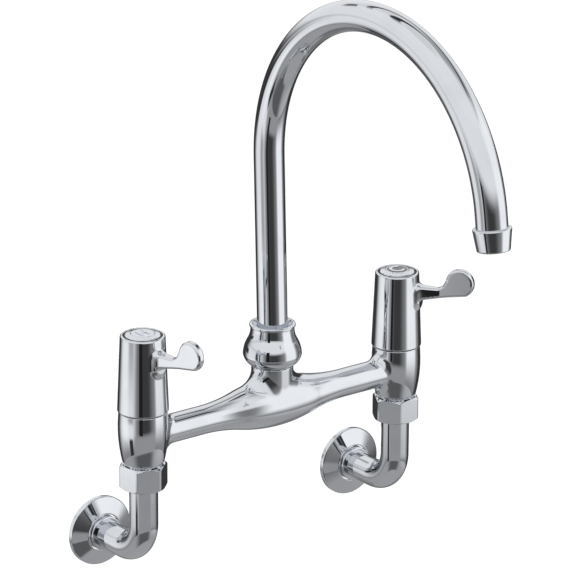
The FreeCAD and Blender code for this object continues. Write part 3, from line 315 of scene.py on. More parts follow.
def new_material(name, colour, other, metallic, wear, bump=0.02, coat=0.0):
    """Principled surface whose gloss, colour and height vary through the shared wear group."""
    material = bpy.data.materials.new(name)
    material.use_nodes = True
    tree = material.node_tree
    shader = tree.nodes["Principled BSDF"]
    shader.inputs["Metallic"].default_value = metallic
    shader.inputs["Coat Weight"].default_value = coat
    group = add(tree, "ShaderNodeGroup", node_tree=WEAR)
    for label, value in wear.items():
        group.inputs[label].default_value = value
    mix = add(tree, "ShaderNodeMix", data_type="RGBA")
    mix.inputs["A"].default_value = (*colour, 1)
    mix.inputs["B"].default_value = (*other, 1)
    height = add(tree, "ShaderNodeBump")
    height.inputs["Strength"].default_value = bump
    height.inputs["Distance"].default_value = 0.0002
    link = tree.links.new
    link(group.outputs["Mask"], mix.inputs["Factor"])
    link(mix.outputs["Result"], shader.inputs["Base Color"])
    link(group.outputs["Roughness"], shader.inputs["Roughness"])
    link(group.outputs["Height"], height.inputs["Height"])
    link(height.outputs["Normal"], shader.inputs["Normal"])
    return material


def wear(smear, mark, base, spread, depth):
    """Inputs of the wear group by name."""
    return {"Smear scale": smear, "Mark scale": mark, "Base roughness": base,
            "Roughness spread": spread, "Mark depth": depth}


FINISH = {
    "chrome": new_material("polished_chrome", (0.645, 0.665, 0.70), (0.61, 0.63, 0.66), 1.0,
                           wear(45, 700, 0.018, 0.025, 0.3), 0.004),
    "satin_chrome": new_material("satin_chrome", (0.70, 0.71, 0.73), (0.66, 0.67, 0.69), 1.0,
                                 wear(80, 1500, 0.13, 0.06, 0.5), 0.05),
    "brass": new_material("turned_brass", (0.72, 0.53, 0.26), (0.60, 0.43, 0.20), 1.0,
                          wear(90, 1800, 0.24, 0.12, 0.8), 0.15),
    "rubber": new_material("black_rubber", (0.025, 0.025, 0.026), (0.04, 0.04, 0.04), 0.0,
                           wear(120, 2400, 0.62, 0.15, 1.0), 0.25),
    "fibre": new_material("pressed_fibre", (0.34, 0.15, 0.10), (0.42, 0.21, 0.15), 0.0,
                          wear(300, 3000, 0.75, 0.12, 1.0), 0.5),
    "ceramic": new_material("lapped_ceramic", (0.88, 0.87, 0.83), (0.84, 0.83, 0.79), 0.0,
                            wear(60, 1200, 0.16, 0.08, 0.4), 0.05),
    "nylon": new_material("white_nylon", (0.84, 0.84, 0.80), (0.78, 0.78, 0.74), 0.0,
                          wear(90, 1600, 0.42, 0.12, 0.8), 0.15),
    "steel": new_material("plain_steel", (0.60, 0.60, 0.61), (0.52, 0.52, 0.53), 1.0,
                          wear(110, 2000, 0.28, 0.12, 0.9), 0.2),
    "enamel": new_material("grey_enamel", (0.10, 0.105, 0.11), (0.13, 0.135, 0.14), 0.0,
                           wear(120, 1800, 0.28, 0.1, 0.5), 0.08, coat=0.4),
}
CHROME = FINISH["chrome"]

slot_of = {part["node"]: part["material_slot"] for part in frame["record"]["subparts"]}
for node, item in frame["nodes"].items():
    item.data.materials.clear()
    item.data.materials.append(FINISH[slot_of[node]])


# --- tube along a path, as geometry nodes -------------------------------------------------------

def tube_tree():
    """Sweeps a round section along the curve. Each point's radius is the curve's own."""
    tree = bpy.data.node_groups.new("tube_along_path", "GeometryNodeTree")
    tree.interface.new_socket("Path", in_out="INPUT", socket_type="NodeSocketGeometry")
    sides = tree.interface.new_socket("Sides", in_out="INPUT", socket_type="NodeSocketInt")
    sides.default_value = 72
    finish = tree.interface.new_socket("Finish", in_out="INPUT", socket_type="NodeSocketMaterial")
    tree.interface.new_socket("Tube", in_out="OUTPUT", socket_type="NodeSocketGeometry")
    entry, out = add(tree, "NodeGroupInput"), add(tree, "NodeGroupOutput")
    ring = add(tree, "GeometryNodeCurvePrimitiveCircle")
    ring.inputs["Radius"].default_value = 1.0
    sweep = add(tree, "GeometryNodeCurveToMesh")
    sweep.inputs["Fill Caps"].default_value = True
    radius = add(tree, "GeometryNodeInputRadius")
    smooth = add(tree, "GeometryNodeSetShadeSmooth")
    real = add(tree, "GeometryNodeRealizeInstances")
    paint = add(tree, "GeometryNodeSetMaterial")
    link = tree.links.new
    link(entry.outputs["Path"], sweep.inputs["Curve"])
    link(entry.outputs["Sides"], ring.inputs["Resolution"])
    link(ring.outputs["Curve"], sweep.inputs["Profile Curve"])
    link(radius.outputs[0], sweep.inputs["Scale"])
    link(sweep.outputs["Mesh"], smooth.inputs["Geometry"])
    link(smooth.outputs["Geometry"], real.inputs["Geometry"])
    link(real.outputs["Geometry"], paint.inputs["Geometry"])
    link(entry.outputs["Finish"], paint.inputs["Material"])
    link(paint.outputs["Geometry"], out.inputs["Tube"])
    return tree, {"sides": sides.identifier, "finish": finish.identifier}


TUBE_TREE, TUBE_INPUT = tube_tree()


def swept_mesh(name, path, material, sides=72):
    """Mesh of the tube tree on a path of (x, y, z, radius) points."""
    curve = bpy.data.curves.new(name + "_path", "CURVE")
    curve.dimensions = "3D"
    curve.twist_mode = "MINIMUM"
    spline = curve.splines.new("POLY")
    spline.points.add(len(path) - 1)
    for point, (x, y, z, radius) in zip(spline.points, path):
        point.co = (x * MM, y * MM, z * MM, 1)
        point.radius = radius * MM
    holder = bpy.data.objects.new(name + "_path", curve)
    bpy.context.scene.collection.objects.link(holder)
    modifier = holder.modifiers.new("tube", "NODES")
    modifier.node_group = TUBE_TREE
    modifier[TUBE_INPUT["sides"]] = sides
    modifier[TUBE_INPUT["finish"]] = material
    graph = bpy.context.evaluated_depsgraph_get()
    mesh = bpy.data.meshes.new_from_object(holder.evaluated_get(graph))
    mesh.name = name
    bpy.data.objects.remove(holder)
    mesh.set_sharp_from_angle(angle=math.radians(35))
    return outwards(mesh)


# --- bridge body --------------------------------------------------------------------------------

ARM_RADIUS, BELLY_RADIUS, FLARE = 8.2, 14.3, 50.0
CUP_TOP, CUP_LOW = 15.0, -15.0
CUP_TOP_RADIUS, CUP_LOW_RADIUS, CUP_SIDE = 13.7, 11.8, 88.0
RING_RADIUS, RING_LOW = 11.2, -16.4
TAIL_RADIUS, TAIL_LOW = 10.48, -24.5
NECK_RADIUS, NECK_TOP = 12.0, 22.8
HUB_FILLET, CUP_FILLET = 9.0, 6.0


def swelling(x):
    """Radius of the bridge about its own axis."""
    rise = BELLY_RADIUS - ARM_RADIUS
    bend = (FLARE * FLARE + rise * rise) / (4 * rise)
    x = np.minimum(np.abs(x), FLARE)
    crown = BELLY_RADIUS - bend + np.sqrt(bend * bend - x * x)
    foot = ARM_RADIUS + bend - np.sqrt(bend * bend - (FLARE - x) ** 2)
    return np.where(x < FLARE / 2, crown, foot)


def cup_radius(z):
    """Radius of a valve cup at a height above the bridge axis."""
    half = (CUP_TOP - CUP_LOW) / 2
    lean = (CUP_TOP_RADIUS - CUP_LOW_RADIUS) / 2
    chord = math.hypot(half, lean)
    reach = math.sqrt(CUP_SIDE ** 2 - chord ** 2)
    middle_r = (CUP_TOP_RADIUS + CUP_LOW_RADIUS) / 2
    centre_r = middle_r - reach * half / chord
    centre_z = reach * lean / chord
    return centre_r + np.sqrt(np.maximum(CUP_SIDE ** 2 - (z - centre_z) ** 2, 1.0))


def bridge_field(points):
    """Distance from the skin of the bridge body, about its axis."""
    x, y, z = points[:, 0], points[:, 1], points[:, 2]
    about_x = np.hypot(y, z) - swelling(x)
    arm = np.maximum(about_x, np.abs(x) - VALVE_X)
    about_neck = np.hypot(x, y)
    neck = soft_cut(about_neck - NECK_RADIUS, z - NECK_TOP, 0.4)
    across = y / np.maximum(np.hypot(y, z), 1e-6)
    neck_lean = across * y / np.maximum(about_neck, 1e-6)
    hub = np.where(z > 0, soft_union(arm, neck, HUB_FILLET, neck_lean), arm)
    about_valve = np.hypot(np.abs(x) - VALVE_X, y)
    wall = about_valve - cup_radius(z)
    cup = soft_cut(soft_cut(wall, z - CUP_TOP, 0.5), CUP_LOW - z, 0.6)
    cup_lean = across * y / np.maximum(about_valve, 1e-6)
    body = soft_union(hub, cup, CUP_FILLET, cup_lean)
    ring = np.maximum(about_valve - RING_RADIUS, np.maximum(RING_LOW - z, z))
    tail = np.maximum(about_valve - TAIL_RADIUS, np.maximum(TAIL_LOW - z, z))
    return np.minimum(body, np.minimum(ring, tail))


def make_bridge():
    """Casting of arms, belly, neck, cups and tails."""
    mesh = skin("bridge_casting", bridge_field, (-105, -15, -25), (105, 15, 23.5), 0.75, CHROME)
    mesh.transform(Matrix.Translation(Vector((0, AXIS_Y, BRIDGE_Z)) * MM))
    new_piece("bridge_casting", mesh, "fixture", "chrome", "bridge_body")


make_bridge()


# --- union nuts, legs and wall flanges ------------------------------------------------------

def nut_radius(angle, flats, round_off):
    """Radius of a hexagon with slightly rounded corners at an angle from one corner."""
    sector = (math.degrees(angle) + 30) % 60 - 30
    flat = flats / 2 / math.cos(math.radians(30 - abs(sector)))
    return min(flat, flats / math.sqrt(3) - round_off)


def make_nut(side):
    """Hexagon nut with both ends chamfered, open from above down to a lip round the leg."""
    flats, height, lip, chamfer = 24.5, 14.0, 8.3, 1.3
    bore = lip + 2.2
    corner = flats / math.sqrt(3)
    count = 6 * 20
    angles = [2 * math.pi * step / count for step in range(count)]
    levels = [0.0, 0.12]
    levels += [0.12 + (chamfer + 0.3) * i / 8 for i in range(1, 9)]
    levels += [height - level for level in reversed(levels)]
    points, rings = [], []

    def ring_at(level, radius_of):
        rings.append(list(range(len(points), len(points) + count)))
        points.extend((radius_of(a) * math.cos(a), radius_of(a) * math.sin(a), level)
                      for a in angles)

    ring_at(0.0, lambda a: lip)
    for level in levels:
        depth = min(level, height - level)
        cone = flats / 2 - 0.1 + (corner - flats / 2 + 0.1) * depth / chamfer
        ring_at(level, lambda a: min(nut_radius(a, flats, 0.25), cone))
    ring_at(height, lambda a: bore)
    ring_at(0.8, lambda a: bore)
    ring_at(0.7, lambda a: lip)
    faces = []
    for index, ring in enumerate(rings):
        other = rings[(index + 1) % len(rings)]
        for step in range(count):
            following = (step + 1) % count
            faces.append((ring[step], ring[following], other[following], other[step]))
    turn = Matrix.Rotation(math.radians(NUT_ANGLE[side]), 3, "Z")
    top = BRIDGE_Z + RING_LOW - 0.05
    points = placed(points, (SIDES[side] * VALVE_X, AXIS_Y, top - height), turn)
    mesh = outwards(mesh_of(side + "_hex_nut", points, faces, CHROME, sharp=16.0))
    new_piece(side + "_hex_nut", mesh, "fixture", "chrome", side + "_union_nut")


LEG_RADIUS, LEG_BEND = 8.2, 19.0
LEG_HEAD_RADIUS, LEG_HEAD_HEIGHT = 9.9, 2.0
SHOULDER_Y, SHOULDER_RADIUS = -9.0, 10.2
THREAD_RADIUS, THREAD_LENGTH, INLET_BORE = 10.48, 10.0, 6.7


def leg_path(side):
    """Points of the leg's centre line with the outer radius at each: down, round, to the wall."""
    x = SIDES[side] * VALVE_X
    bend, radius = LEG_BEND, LEG_RADIUS
    top = BRIDGE_Z + TAIL_LOW - 2.1
    neck = top - LEG_HEAD_HEIGHT
    path = [(x, AXIS_Y, top, LEG_HEAD_RADIUS), (x, AXIS_Y, neck + 0.02, LEG_HEAD_RADIUS)]
    path += [(x, AXIS_Y, neck, radius)]
    path += [(x, AXIS_Y, neck - (neck - bend) * i / 12, radius) for i in range(1, 12)]
    for step in range(49):
        angle = math.radians(90 * step / 48)
        y = AXIS_Y + bend * (1 - math.cos(angle))
        path.append((x, y, bend * (1 - math.sin(angle)), radius))
    run = SHOULDER_Y + 0.5 - (AXIS_Y + bend)
    path += [(x, AXIS_Y + bend + run * i / 8, 0, radius) for i in range(1, 9)]
    return path


def joined(name, first, second):
    """One mesh of two closed shells. The first one's materials lead."""
    work = bmesh.new()
    work.from_mesh(first)
    work.from_mesh(second)
    mesh = bpy.data.meshes.new(name)
    work.to_mesh(mesh)
    work.free()
    mesh.materials.append(first.materials[0])
    return mesh


def make_leg(side):
    """Swept leg, and its bored end with the shoulder and the thread behind the wall."""
    tube = swept_mesh(side + "_tube", leg_path(side), CHROME, 88)
    outline = rounded([
        (INLET_BORE, -SHOULDER_Y, 0.0), (SHOULDER_RADIUS, -SHOULDER_Y, 0.8),
        (SHOULDER_RADIUS, 0.0, 0.0), (THREAD_RADIUS, 0.0, 0.0),
        (THREAD_RADIUS, -THREAD_LENGTH, 0.5), (INLET_BORE, -THREAD_LENGTH, 0.4),
    ])
    tilt = Matrix.Rotation(math.radians(90), 3, "X")
    points, faces = lathe(outline)
    points = placed(points, (SIDES[side] * VALVE_X, 0, 0), tilt)
    end = outwards(mesh_of(side + "_end", points, faces, CHROME, sharp=30.0))
    leg = joined(side + "_crank", tube, end)
    new_piece(side + "_crank", leg, "fixture", "chrome", side + "_inlet_leg")


def make_flange(side):
    """Dished cover: rim, cone and a rolled opening round the leg's shoulder."""
    outline = rounded([
        (19.2, 0.0, 0.0), (20.4, 0.0, 0.2), (20.4, 2.8, 0.9), (11.6, 6.2, 0.7), (10.75, 6.2, 0.3),
        (10.75, 5.0, 0.2), (11.6, 5.0, 0.3), (19.2, 2.2, 0.4),
    ])
    tilt = Matrix.Rotation(math.radians(90), 3, "X")
    turned_piece(side + "_wall_rose", outline, (SIDES[side] * VALVE_X, 0, 0), "fixture", "chrome",
                 CHROME, side + "_wall_flange", tilt=tilt)


for side in SIDES:
    make_nut(side)
    make_leg(side)
    make_flange(side)


# --- handles ------------------------------------------------------------------------------------

def stadium(points, centre_z, half_width, half_height):
    """Distance from an upright slot shape in the YZ plane."""
    y, z = points[:, 1], points[:, 2] - centre_z
    reach = half_height - half_width
    return np.hypot(y, z - np.clip(z, -reach, reach)) - half_width


BARREL_RADIUS, BARREL_TAPER = 14.5, 1.8
RECESS_RADIUS, RECESS_FLOOR = 11.1, 38.5
BOSS_Z, BOSS_HALF_WIDTH, BOSS_HALF_HEIGHT, BOSS_REACH = 30.6, 5.0, 7.4, 14.9
BLADE_START = 6
ARM_ROOT, ARM_TIP, ARM_END = 6.35, 34.0, 33.0
ARM_TOP, ARM_UNDERSIDE, ARM_RISE = 37.2, 27.2, 5.8
ARM_HALF_WIDTH, ARM_NARROWING, ARM_LEAST_HALF_WIDTH = 4.5, 3.0, 2.3
PADDLE_FILLET_FROM = 35.0

PADDLE = (38.2, 41.6)
PADDLE_RADIUS = 8.4
PADDLE_FOOT, PADDLE_INNER, PADDLE_LOW = (26.4, 37.2), (30.05, 43.63), (42.14, 34.18)
PADDLE_BASE = (26.4, 31.6)
HOLLOW_CENTRE, HOLLOW_RADIUS = (15.57, 47.6), 15.0


def half_planes(x, z, corners):
    """Distance from a convex polygon whose corners run clockwise."""
    distance = np.full_like(x, -1e9)
    for index, (x0, z0) in enumerate(corners):
        x1, z1 = corners[(index + 1) % len(corners)]
        size = math.hypot(x1 - x0, z1 - z0)
        distance = np.maximum(distance, ((z - z0) * (x1 - x0) - (x - x0) * (z1 - z0)) / size)
    return distance


def paddle_profile(x, z):
    """Round paddle with a hollow curve down to the top of the arm."""
    disc = np.hypot(x - PADDLE[0], z - PADDLE[1]) - PADDLE_RADIUS
    web = half_planes(x, z, [PADDLE_FOOT, PADDLE_INNER, PADDLE, PADDLE_LOW, PADDLE_BASE])
    hollow = HOLLOW_RADIUS - np.hypot(x - HOLLOW_CENTRE[0], z - HOLLOW_CENTRE[1])
    base_x, base_z = PADDLE_BASE
    across, rise = PADDLE_LOW[0] - base_x, PADDLE_LOW[1] - base_z
    below = ((x - base_x) * rise - (z - base_z) * across) / math.hypot(across, rise)
    return np.maximum(np.minimum(disc, np.maximum(web, hollow)), below)


def lever_field(points):
    """Distance from the skin of barrel and lever. The lever points along +X."""
    x, y, z = points[:, 0], points[:, 1], points[:, 2]
    about = np.hypot(x, y)
    wall = about - (BARREL_RADIUS - BARREL_TAPER * z / BARREL_HEIGHT)
    barrel = soft_cut(soft_cut(wall, z - BARREL_HEIGHT, 1.2), -z, 0.35)
    recess = np.maximum(about - RECESS_RADIUS, RECESS_FLOOR - z)
    slot_shape = stadium(points, BOSS_Z, BOSS_HALF_WIDTH, BOSS_HALF_HEIGHT)
    boss = soft_cut(slot_shape, x - BOSS_REACH, 2.0)
    boss = np.maximum(boss, BLADE_START - x)
    along = np.clip((x - ARM_ROOT) / (ARM_TIP - ARM_ROOT), 0, 1)
    half_width = np.maximum(ARM_HALF_WIDTH - ARM_NARROWING * along, ARM_LEAST_HALF_WIDTH)
    arm = soft_cut(z - ARM_TOP, ARM_UNDERSIDE + ARM_RISE * along - z, 0.8)
    arm = np.maximum(arm, x - ARM_END)
    paddle = paddle_profile(x, z)
    filleted = soft_union(arm, paddle, 2.0)
    profile = np.where(z > PADDLE_FILLET_FROM, filleted, np.minimum(arm, paddle))
    blade = soft_cut(profile, np.abs(y) - half_width, 1.5)
    blade = np.maximum(blade, BLADE_START - x)
    body = soft_union(barrel, soft_union(boss, blade, 1.5), 2.0)
    return soft_cut(body, -recess, 0.5)


def make_lever(side):
    """Barrel, boss, arm and paddle in one skin, turned to the side's angle at rest."""
    mesh = skin(side + "_lever", lever_field, (-15, -15, -0.5), (47.5, 15, 51), 0.5, CHROME)
    turn = Matrix.Rotation(math.radians(LEVER_ANGLE[side]), 4, "Z")
    mesh.transform(turn)
    mesh.transform(Matrix.Translation(Vector((SIDES[side] * VALVE_X, AXIS_Y, BARREL_Z)) * MM))
    new_piece(side + "_lever", mesh, side + "_handle", "chrome", side + "_lever_handle")


CAP_TOP, LETTER_RISE = 1.0, 0.45
CAP_RADIUS, GAP_RADIUS, GAP_LEVEL = 10.05, 11.05, -0.45


def prism(outline, low, high):
    """Closed upright prism of an (x, y) outline."""
    count = len(outline)
    points = [(x, y, low) for x, y in outline] + [(x, y, high) for x, y in outline]
    faces = [tuple(range(count)), tuple(range(count, 2 * count))]
    faces += [(i, (i + 1) % count, (i + 1) % count + count, i + count) for i in range(count)]
    return points, faces


def letter_strokes(side):
    """Outlines of the strokes of the plain index letter, upright to a person at the sink."""
    if side == "hot":
        tall, wide, stroke = 3.4, 2.9, 1.3
        spans = [(-wide, stroke - wide, tall), (wide - stroke, wide, tall),
                 (stroke - wide - 0.05, wide - stroke + 0.05, stroke / 2)]
        return [[(x0, -y), (x1, -y), (x1, y), (x0, y)] for x0, x1, y in spans]
    inner, outer, opening, steps = 3.0, 4.7, math.radians(42), 40
    angles = [opening + (2 * math.pi - 2 * opening) * i / steps for i in range(steps + 1)]
    return [[(outer * math.cos(a), outer * math.sin(a)) for a in angles]
            + [(inner * math.cos(a), inner * math.sin(a)) for a in reversed(angles)]]


def make_cap(side):
    """Stepped index cap with a raised letter; its foot ring is black as painted gap shade. The cold
    disc is enamel.
    """
    outline = rounded([
        (0.0, -2.4, 0.0), (GAP_RADIUS, -2.4, 0.0),
        (GAP_RADIUS, GAP_LEVEL, 0.0), (CAP_RADIUS, GAP_LEVEL, 0.0),
        (CAP_RADIUS, -0.1, 0.25), (9.6, 0.22, 0.25), (6.9, 0.68, 0.25),
        (6.6, CAP_TOP + 0.1, 0.25), (6.1, CAP_TOP + 0.1, 0.15),
        (6.0, CAP_TOP, 0.0), (0.0, CAP_TOP, 0.0),
    ], steps=4)
    points, faces = lathe(outline)
    for stroke in letter_strokes(side):
        more, sheets = prism(stroke, CAP_TOP - 0.2, CAP_TOP + LETTER_RISE)
        faces += [tuple(corner + len(points) for corner in sheet) for sheet in sheets]
        points += more
    place = (SIDES[side] * VALVE_X, AXIS_Y, BARREL_Z + BARREL_HEIGHT)
    points = placed(points, place)
    mesh = outwards(mesh_of(side + "_index_button", points, faces, CHROME, sharp=25.0))
    # Black rubber on the step round the cap's foot is painted shade of the gap to the barrel rim.
    mesh.materials.append(FINISH["rubber"])
    mesh.materials.append(FINISH["enamel"])
    for face in mesh.polygons:
        about = math.hypot(face.center.x / MM - place[0], face.center.y / MM - place[1])
        rise = face.center.z / MM - place[2]
        # The step below the cap's side takes the black rubber: painted shade in the gap.
        if about > CAP_RADIUS and rise < GAP_LEVEL + 0.05:
            face.material_index = 1
        elif side == "cold" and face.normal.z > 0.99 and abs(rise - CAP_TOP) < 0.05:
            face.material_index = 2
    new_piece(side + "_index_button", mesh, side + "_handle", "satin_chrome", side + "_index_cap")


for side in SIDES:
    make_lever(side)
    make_cap(side)


# --- spout --------------------------------------------------------------------------------------

TUBE_RADIUS = 8.7
TUBE_FOOT = 111.0
LEAN = math.radians(2.1)
ARCH_RADIUS = 97.3
ARCH_END = math.radians(172.0)
ENTRY, LEAN_BEND, RISER = 3.6, 60.0, 101.0
OUTLET_STOPS = (3, 7, 9.5, 13)
NOZZLE_FROM = 7


def spout_line():
    """Centre line of the spout tube in (y, z), from its foot to the nozzle."""
    line = [(AXIS_Y, TUBE_FOOT), (AXIS_Y, TUBE_FOOT + ENTRY)]
    for step in (1, 2, 3):
        angle = LEAN * step / 3
        y = AXIS_Y + LEAN_BEND * (1 - math.cos(angle))
        line.append((y, TUBE_FOOT + ENTRY + LEAN_BEND * math.sin(angle)))
    foot_y, foot_z = line[-1]
    for step in range(1, 26):
        length = RISER * step / 25
        line.append((foot_y + length * math.sin(LEAN), foot_z + length * math.cos(LEAN)))
    start_y, start_z = line[-1]
    centre_y = start_y - ARCH_RADIUS * math.cos(LEAN)
    centre_z = start_z + ARCH_RADIUS * math.sin(LEAN)
    first = -LEAN
    for step in range(1, 161):
        angle = first + (ARCH_END - first) * step / 160
        y = centre_y + ARCH_RADIUS * math.cos(angle)
        line.append((y, centre_z + ARCH_RADIUS * math.sin(angle)))
    end_y, end_z = line[-1]
    for length in OUTLET_STOPS:
        line.append((end_y - length * math.sin(ARCH_END), end_z + length * math.cos(ARCH_END)))
    return line


def make_spout():
    """Tube of the swan neck, from inside the collar to inside the nozzle ring."""
    path = [(0, y, z, TUBE_RADIUS) for y, z in spout_line()]
    mesh = swept_mesh("swan_neck", path, CHROME, 96)
    new_piece("swan_neck", mesh, "spout", "chrome", "spout_tube")


def make_nozzle():
    """Nozzle ring, square to the end of the arch."""
    end_y, end_z = spout_line()[-1 - len(OUTLET_STOPS)]
    y = end_y - NOZZLE_FROM * math.sin(ARCH_END)
    z = end_z + NOZZLE_FROM * math.cos(ARCH_END)
    outline = rounded([
        (8.75, -5.9, 0.0), (8.0, -6.0, 0.0), (8.0, -11.2, 0.0), (6.9, -11.2, 0.2),
        (6.9, -12.4, 0.25), (9.0, -12.4, 1.0), (10.7, 0.0, 1.0), (8.75, 0.0, 0.3),
    ])
    tilt = Matrix.Rotation(ARCH_END - math.pi, 3, "X")
    turned_piece("nozzle_ring", outline, (0, y, z), "spout", "chrome", CHROME, "spout_nozzle",
                 tilt=tilt)


def make_collar():
    """Bell-shaped collar: belly, waist and a rolled lip round the foot of the tube."""
    base = BRIDGE_Z + NECK_TOP + 0.05
    outline = [(10.6, 0.0), (11.7, 0.0)]
    outline += arc_points((12.0, 0.1), (16.8, 6.6), 9.0, 14)
    outline += arc_points((16.8, 6.6), (14.6, 14.6), 18.0, 14)
    outline += arc_points((14.6, 14.6), (12.9, 18.6), -16.0, 8)
    outline += arc_points((12.9, 18.6), (12.5, 22.2), -20.0, 6)
    outline += rounded([
        (12.5, 22.9, 0.4), (13.2, 23.4, 0.5), (13.2, 24.6, 0.7), (11.6, 25.0, 0.5), (9.6, 21.0, 0.3),
    ])
    outline += [(9.6, 19.9), (10.6, 19.8)]
    turned_piece("bell_collar", outline, (0, AXIS_Y, base), "fixture", "chrome", CHROME,
                 "spout_collar")


make_spout()
make_nozzle()
make_collar()


# --- camera, lights and stage ---------------------------------------------------------------

TURN, RISE = math.radians(-37.26), math.radians(19.5)
ROLL = math.radians(-0.3)
DISTANCE, SCALE = 2500.0, 1.76
FRAME_PIXELS, SENSOR_WIDTH = 570, 36
SEEN_AT = (272.7, 375.8)
AIM = Vector((0, AXIS_Y, BARREL_Z))
RIGHT = Vector((math.cos(TURN), math.sin(TURN), 0))
BACK = Vector((math.sin(TURN) * math.cos(RISE), -math.cos(TURN) * math.cos(RISE), math.sin(RISE)))
UP = BACK.cross(RIGHT)


def make_camera():
    """Camera that sees the aim point at its place in the square frame."""
    middle = FRAME_PIXELS / 2
    across, high = (SEEN_AT[0] - middle) / SCALE, (middle - SEEN_AT[1]) / SCALE
    place = AIM + BACK * DISTANCE - RIGHT * across - UP * high
    basis = Matrix((RIGHT, UP, BACK)).transposed() @ Matrix.Rotation(-ROLL, 3, "Z")
    data = bpy.data.cameras.new("camera")
    data.sensor_width = SENSOR_WIDTH
    data.lens = SCALE * DISTANCE / FRAME_PIXELS * SENSOR_WIDTH
    data.clip_end = 100
    camera = bpy.data.objects.new("camera", data)
    camera.matrix_world = Matrix.Translation(place * MM) @ basis.to_4x4()
    bpy.context.scene.collection.objects.link(camera)
    bpy.context.scene.camera = camera


STAGE_CENTRE = Vector((0, -0.045, 0))
WHITE, ROOM_LIGHT, FLOOR_GLOW = 1.0, 0.45, 0.62


def stage_point(azimuth, radius, height):
    """Point of the stage at an angle to the right of the camera's side."""
    turn = TURN + math.radians(azimuth)
    return STAGE_CENTRE + Vector((math.sin(turn) * radius, -math.cos(turn) * radius, height))


def soft_box(name, azimuth, distance, width, low, high, level):
    """Area light that faces the faucet. Level is its radiance."""
    data = bpy.data.lights.new(name, "AREA")
    data.shape = "RECTANGLE"
    data.size, data.size_y = width, high - low
    data.energy = level * math.pi * data.size * data.size_y
    lamp = bpy.data.objects.new(name, data)
    lamp.visible_glossy = False
    lamp.location = stage_point(azimuth, distance, (low + high) / 2)
    back = stage_point(azimuth, 1, 0) - STAGE_CENTRE
    lamp.rotation_euler = back.to_track_quat("Z", "Y").to_euler()
    bpy.context.scene.collection.objects.link(lamp)


def light_path_sum(tree):
    """One for camera, glossy and transmission rays, nought for the rest."""
    path = add(tree, "ShaderNodeLightPath")
    first = add(tree, "ShaderNodeMath", operation="MAXIMUM")
    second = add(tree, "ShaderNodeMath", operation="MAXIMUM")
    tree.links.new(path.outputs["Is Camera Ray"], first.inputs[0])
    tree.links.new(path.outputs["Is Glossy Ray"], first.inputs[1])
    tree.links.new(first.outputs[0], second.inputs[0])
    tree.links.new(path.outputs["Is Transmission Ray"], second.inputs[1])
    return second.outputs[0]


def card_material():
    """Glow of the studio cards, read from each card's own tone."""
    material = bpy.data.materials.new("card_tone")
    material.use_nodes = True
    tree = material.node_tree
    tree.nodes.clear()
    tone = add(tree, "ShaderNodeAttribute", attribute_name="tone")
    glow = add(tree, "ShaderNodeEmission")
    out = add(tree, "ShaderNodeOutputMaterial")
    tree.links.new(tone.outputs["Fac"], glow.inputs["Strength"])
    tree.links.new(glow.outputs[0], out.inputs["Surface"])
    return material


CARD_TONE = card_material()

TENT_RADIUS, TENT_LOW, TENT_HIGH = 0.78, -0.435, 0.85
WALL_ROWS, DISC_ROWS, TENT_TURNS = 80, 90, 145
WALL_TONE, GROUND_TONE, ROOF_TONE = 0.32, 0.45, 1.08
CARD_BLACK = 0.02

# Panels of the light tent: first and last azimuth from the camera's side in degrees, low and high
# edge (height on the wall, radius on the ground and the roof), softness of each, and tone.
# Each panel covers the ones before it.
WALL_PANELS = (
    ("upper_white", -400, 400, 0.30, 2.00, 1, 0.16, 1.05),
    ("left_white", -112, -38, -0.30, 0.30, 24, 0.24, 1.05),
    ("left_bright", -96, -66, -0.24, -0.08, 20, 0.10, 1.24),
    ("left_grey", -68, -44, -0.09, 0.22, 14, 0.06, 0.50),
    ("camera_black", -20, 34, -0.21, 0.24, 34, 0.10, 0.06),
    ("low_grey", -42, 54, -0.50, -0.22, 14, 0.10, 0.40),
    ("right_bright", 54, 104, -0.24, 0.80, 16, 0.36, 1.26),
    ("leg_flag", -63, -47, -0.50, -0.24, 3, 0.03, 0.04),
    ("left_rear_black", -172, -124, -0.50, 0.24, 12, 0.08, 0.05),
    ("right_rear_black", 120, 172, -0.50, 0.24, 14, 0.08, 0.05),
    ("arch_flag", -126, -106, 0.00, 0.14, 8, 0.05, 0.04),
    ("roof_flag", -150, -136, 0.70, 2.00, 14, 0.10, 0.08),
)
GROUND_PANELS = (
    ("middle", -400, 400, -1.0, 0.30, 1, 0.10, 0.46),
    ("camera_dark", -45, 45, 0.32, 0.75, 40, 0.06, 0.14),
    ("rear_dark", 135, 225, 0.32, 0.75, 40, 0.06, 0.24),
    ("right_pale", 60, 120, 0.55, 2.00, 50, 0.30, 0.60),
)
ROOF_PANELS = (
    ("middle", -400, 400, -1.0, 0.15, 1, 0.10, 0.90),
    ("right_grey", 75, 150, 0.20, 2.00, 50, 0.12, 0.48),
    ("rear_white", 160, 220, 0.30, 2.00, 30, 0.04, 0.92),
    ("rear_flag", 140, 240, 0.18, 0.29, 50, 0.02, 0.04),
    ("arm_flag", 80, 220, 0.505, 0.605, 30, 0.015, 0.05),
)


def ramp(value, edge, softness):
    """Smooth step from nought to one across an edge."""
    t = np.clip((value - edge) / softness + 0.5, 0, 1)
    return t * t * (3 - 2 * t)


def panel_tones(base, panels, azimuth, across):
    """Tone at each azimuth and place across, with every panel laid over the ones before it."""
    tone = np.full(azimuth.shape, base)
    for _, first, last, low, high, soft_azimuth, soft_across, level in panels:
        share = ramp(across, low, soft_across) * (1 - ramp(across, high, soft_across))
        turned = np.zeros_like(azimuth)
        for lap in (-360, 0, 360):
            inside = ramp(azimuth + lap, first, soft_azimuth)
            inside *= 1 - ramp(azimuth + lap, last, soft_azimuth)
            turned = np.maximum(turned, inside)
        tone += (level - tone) * share * turned
    return tone


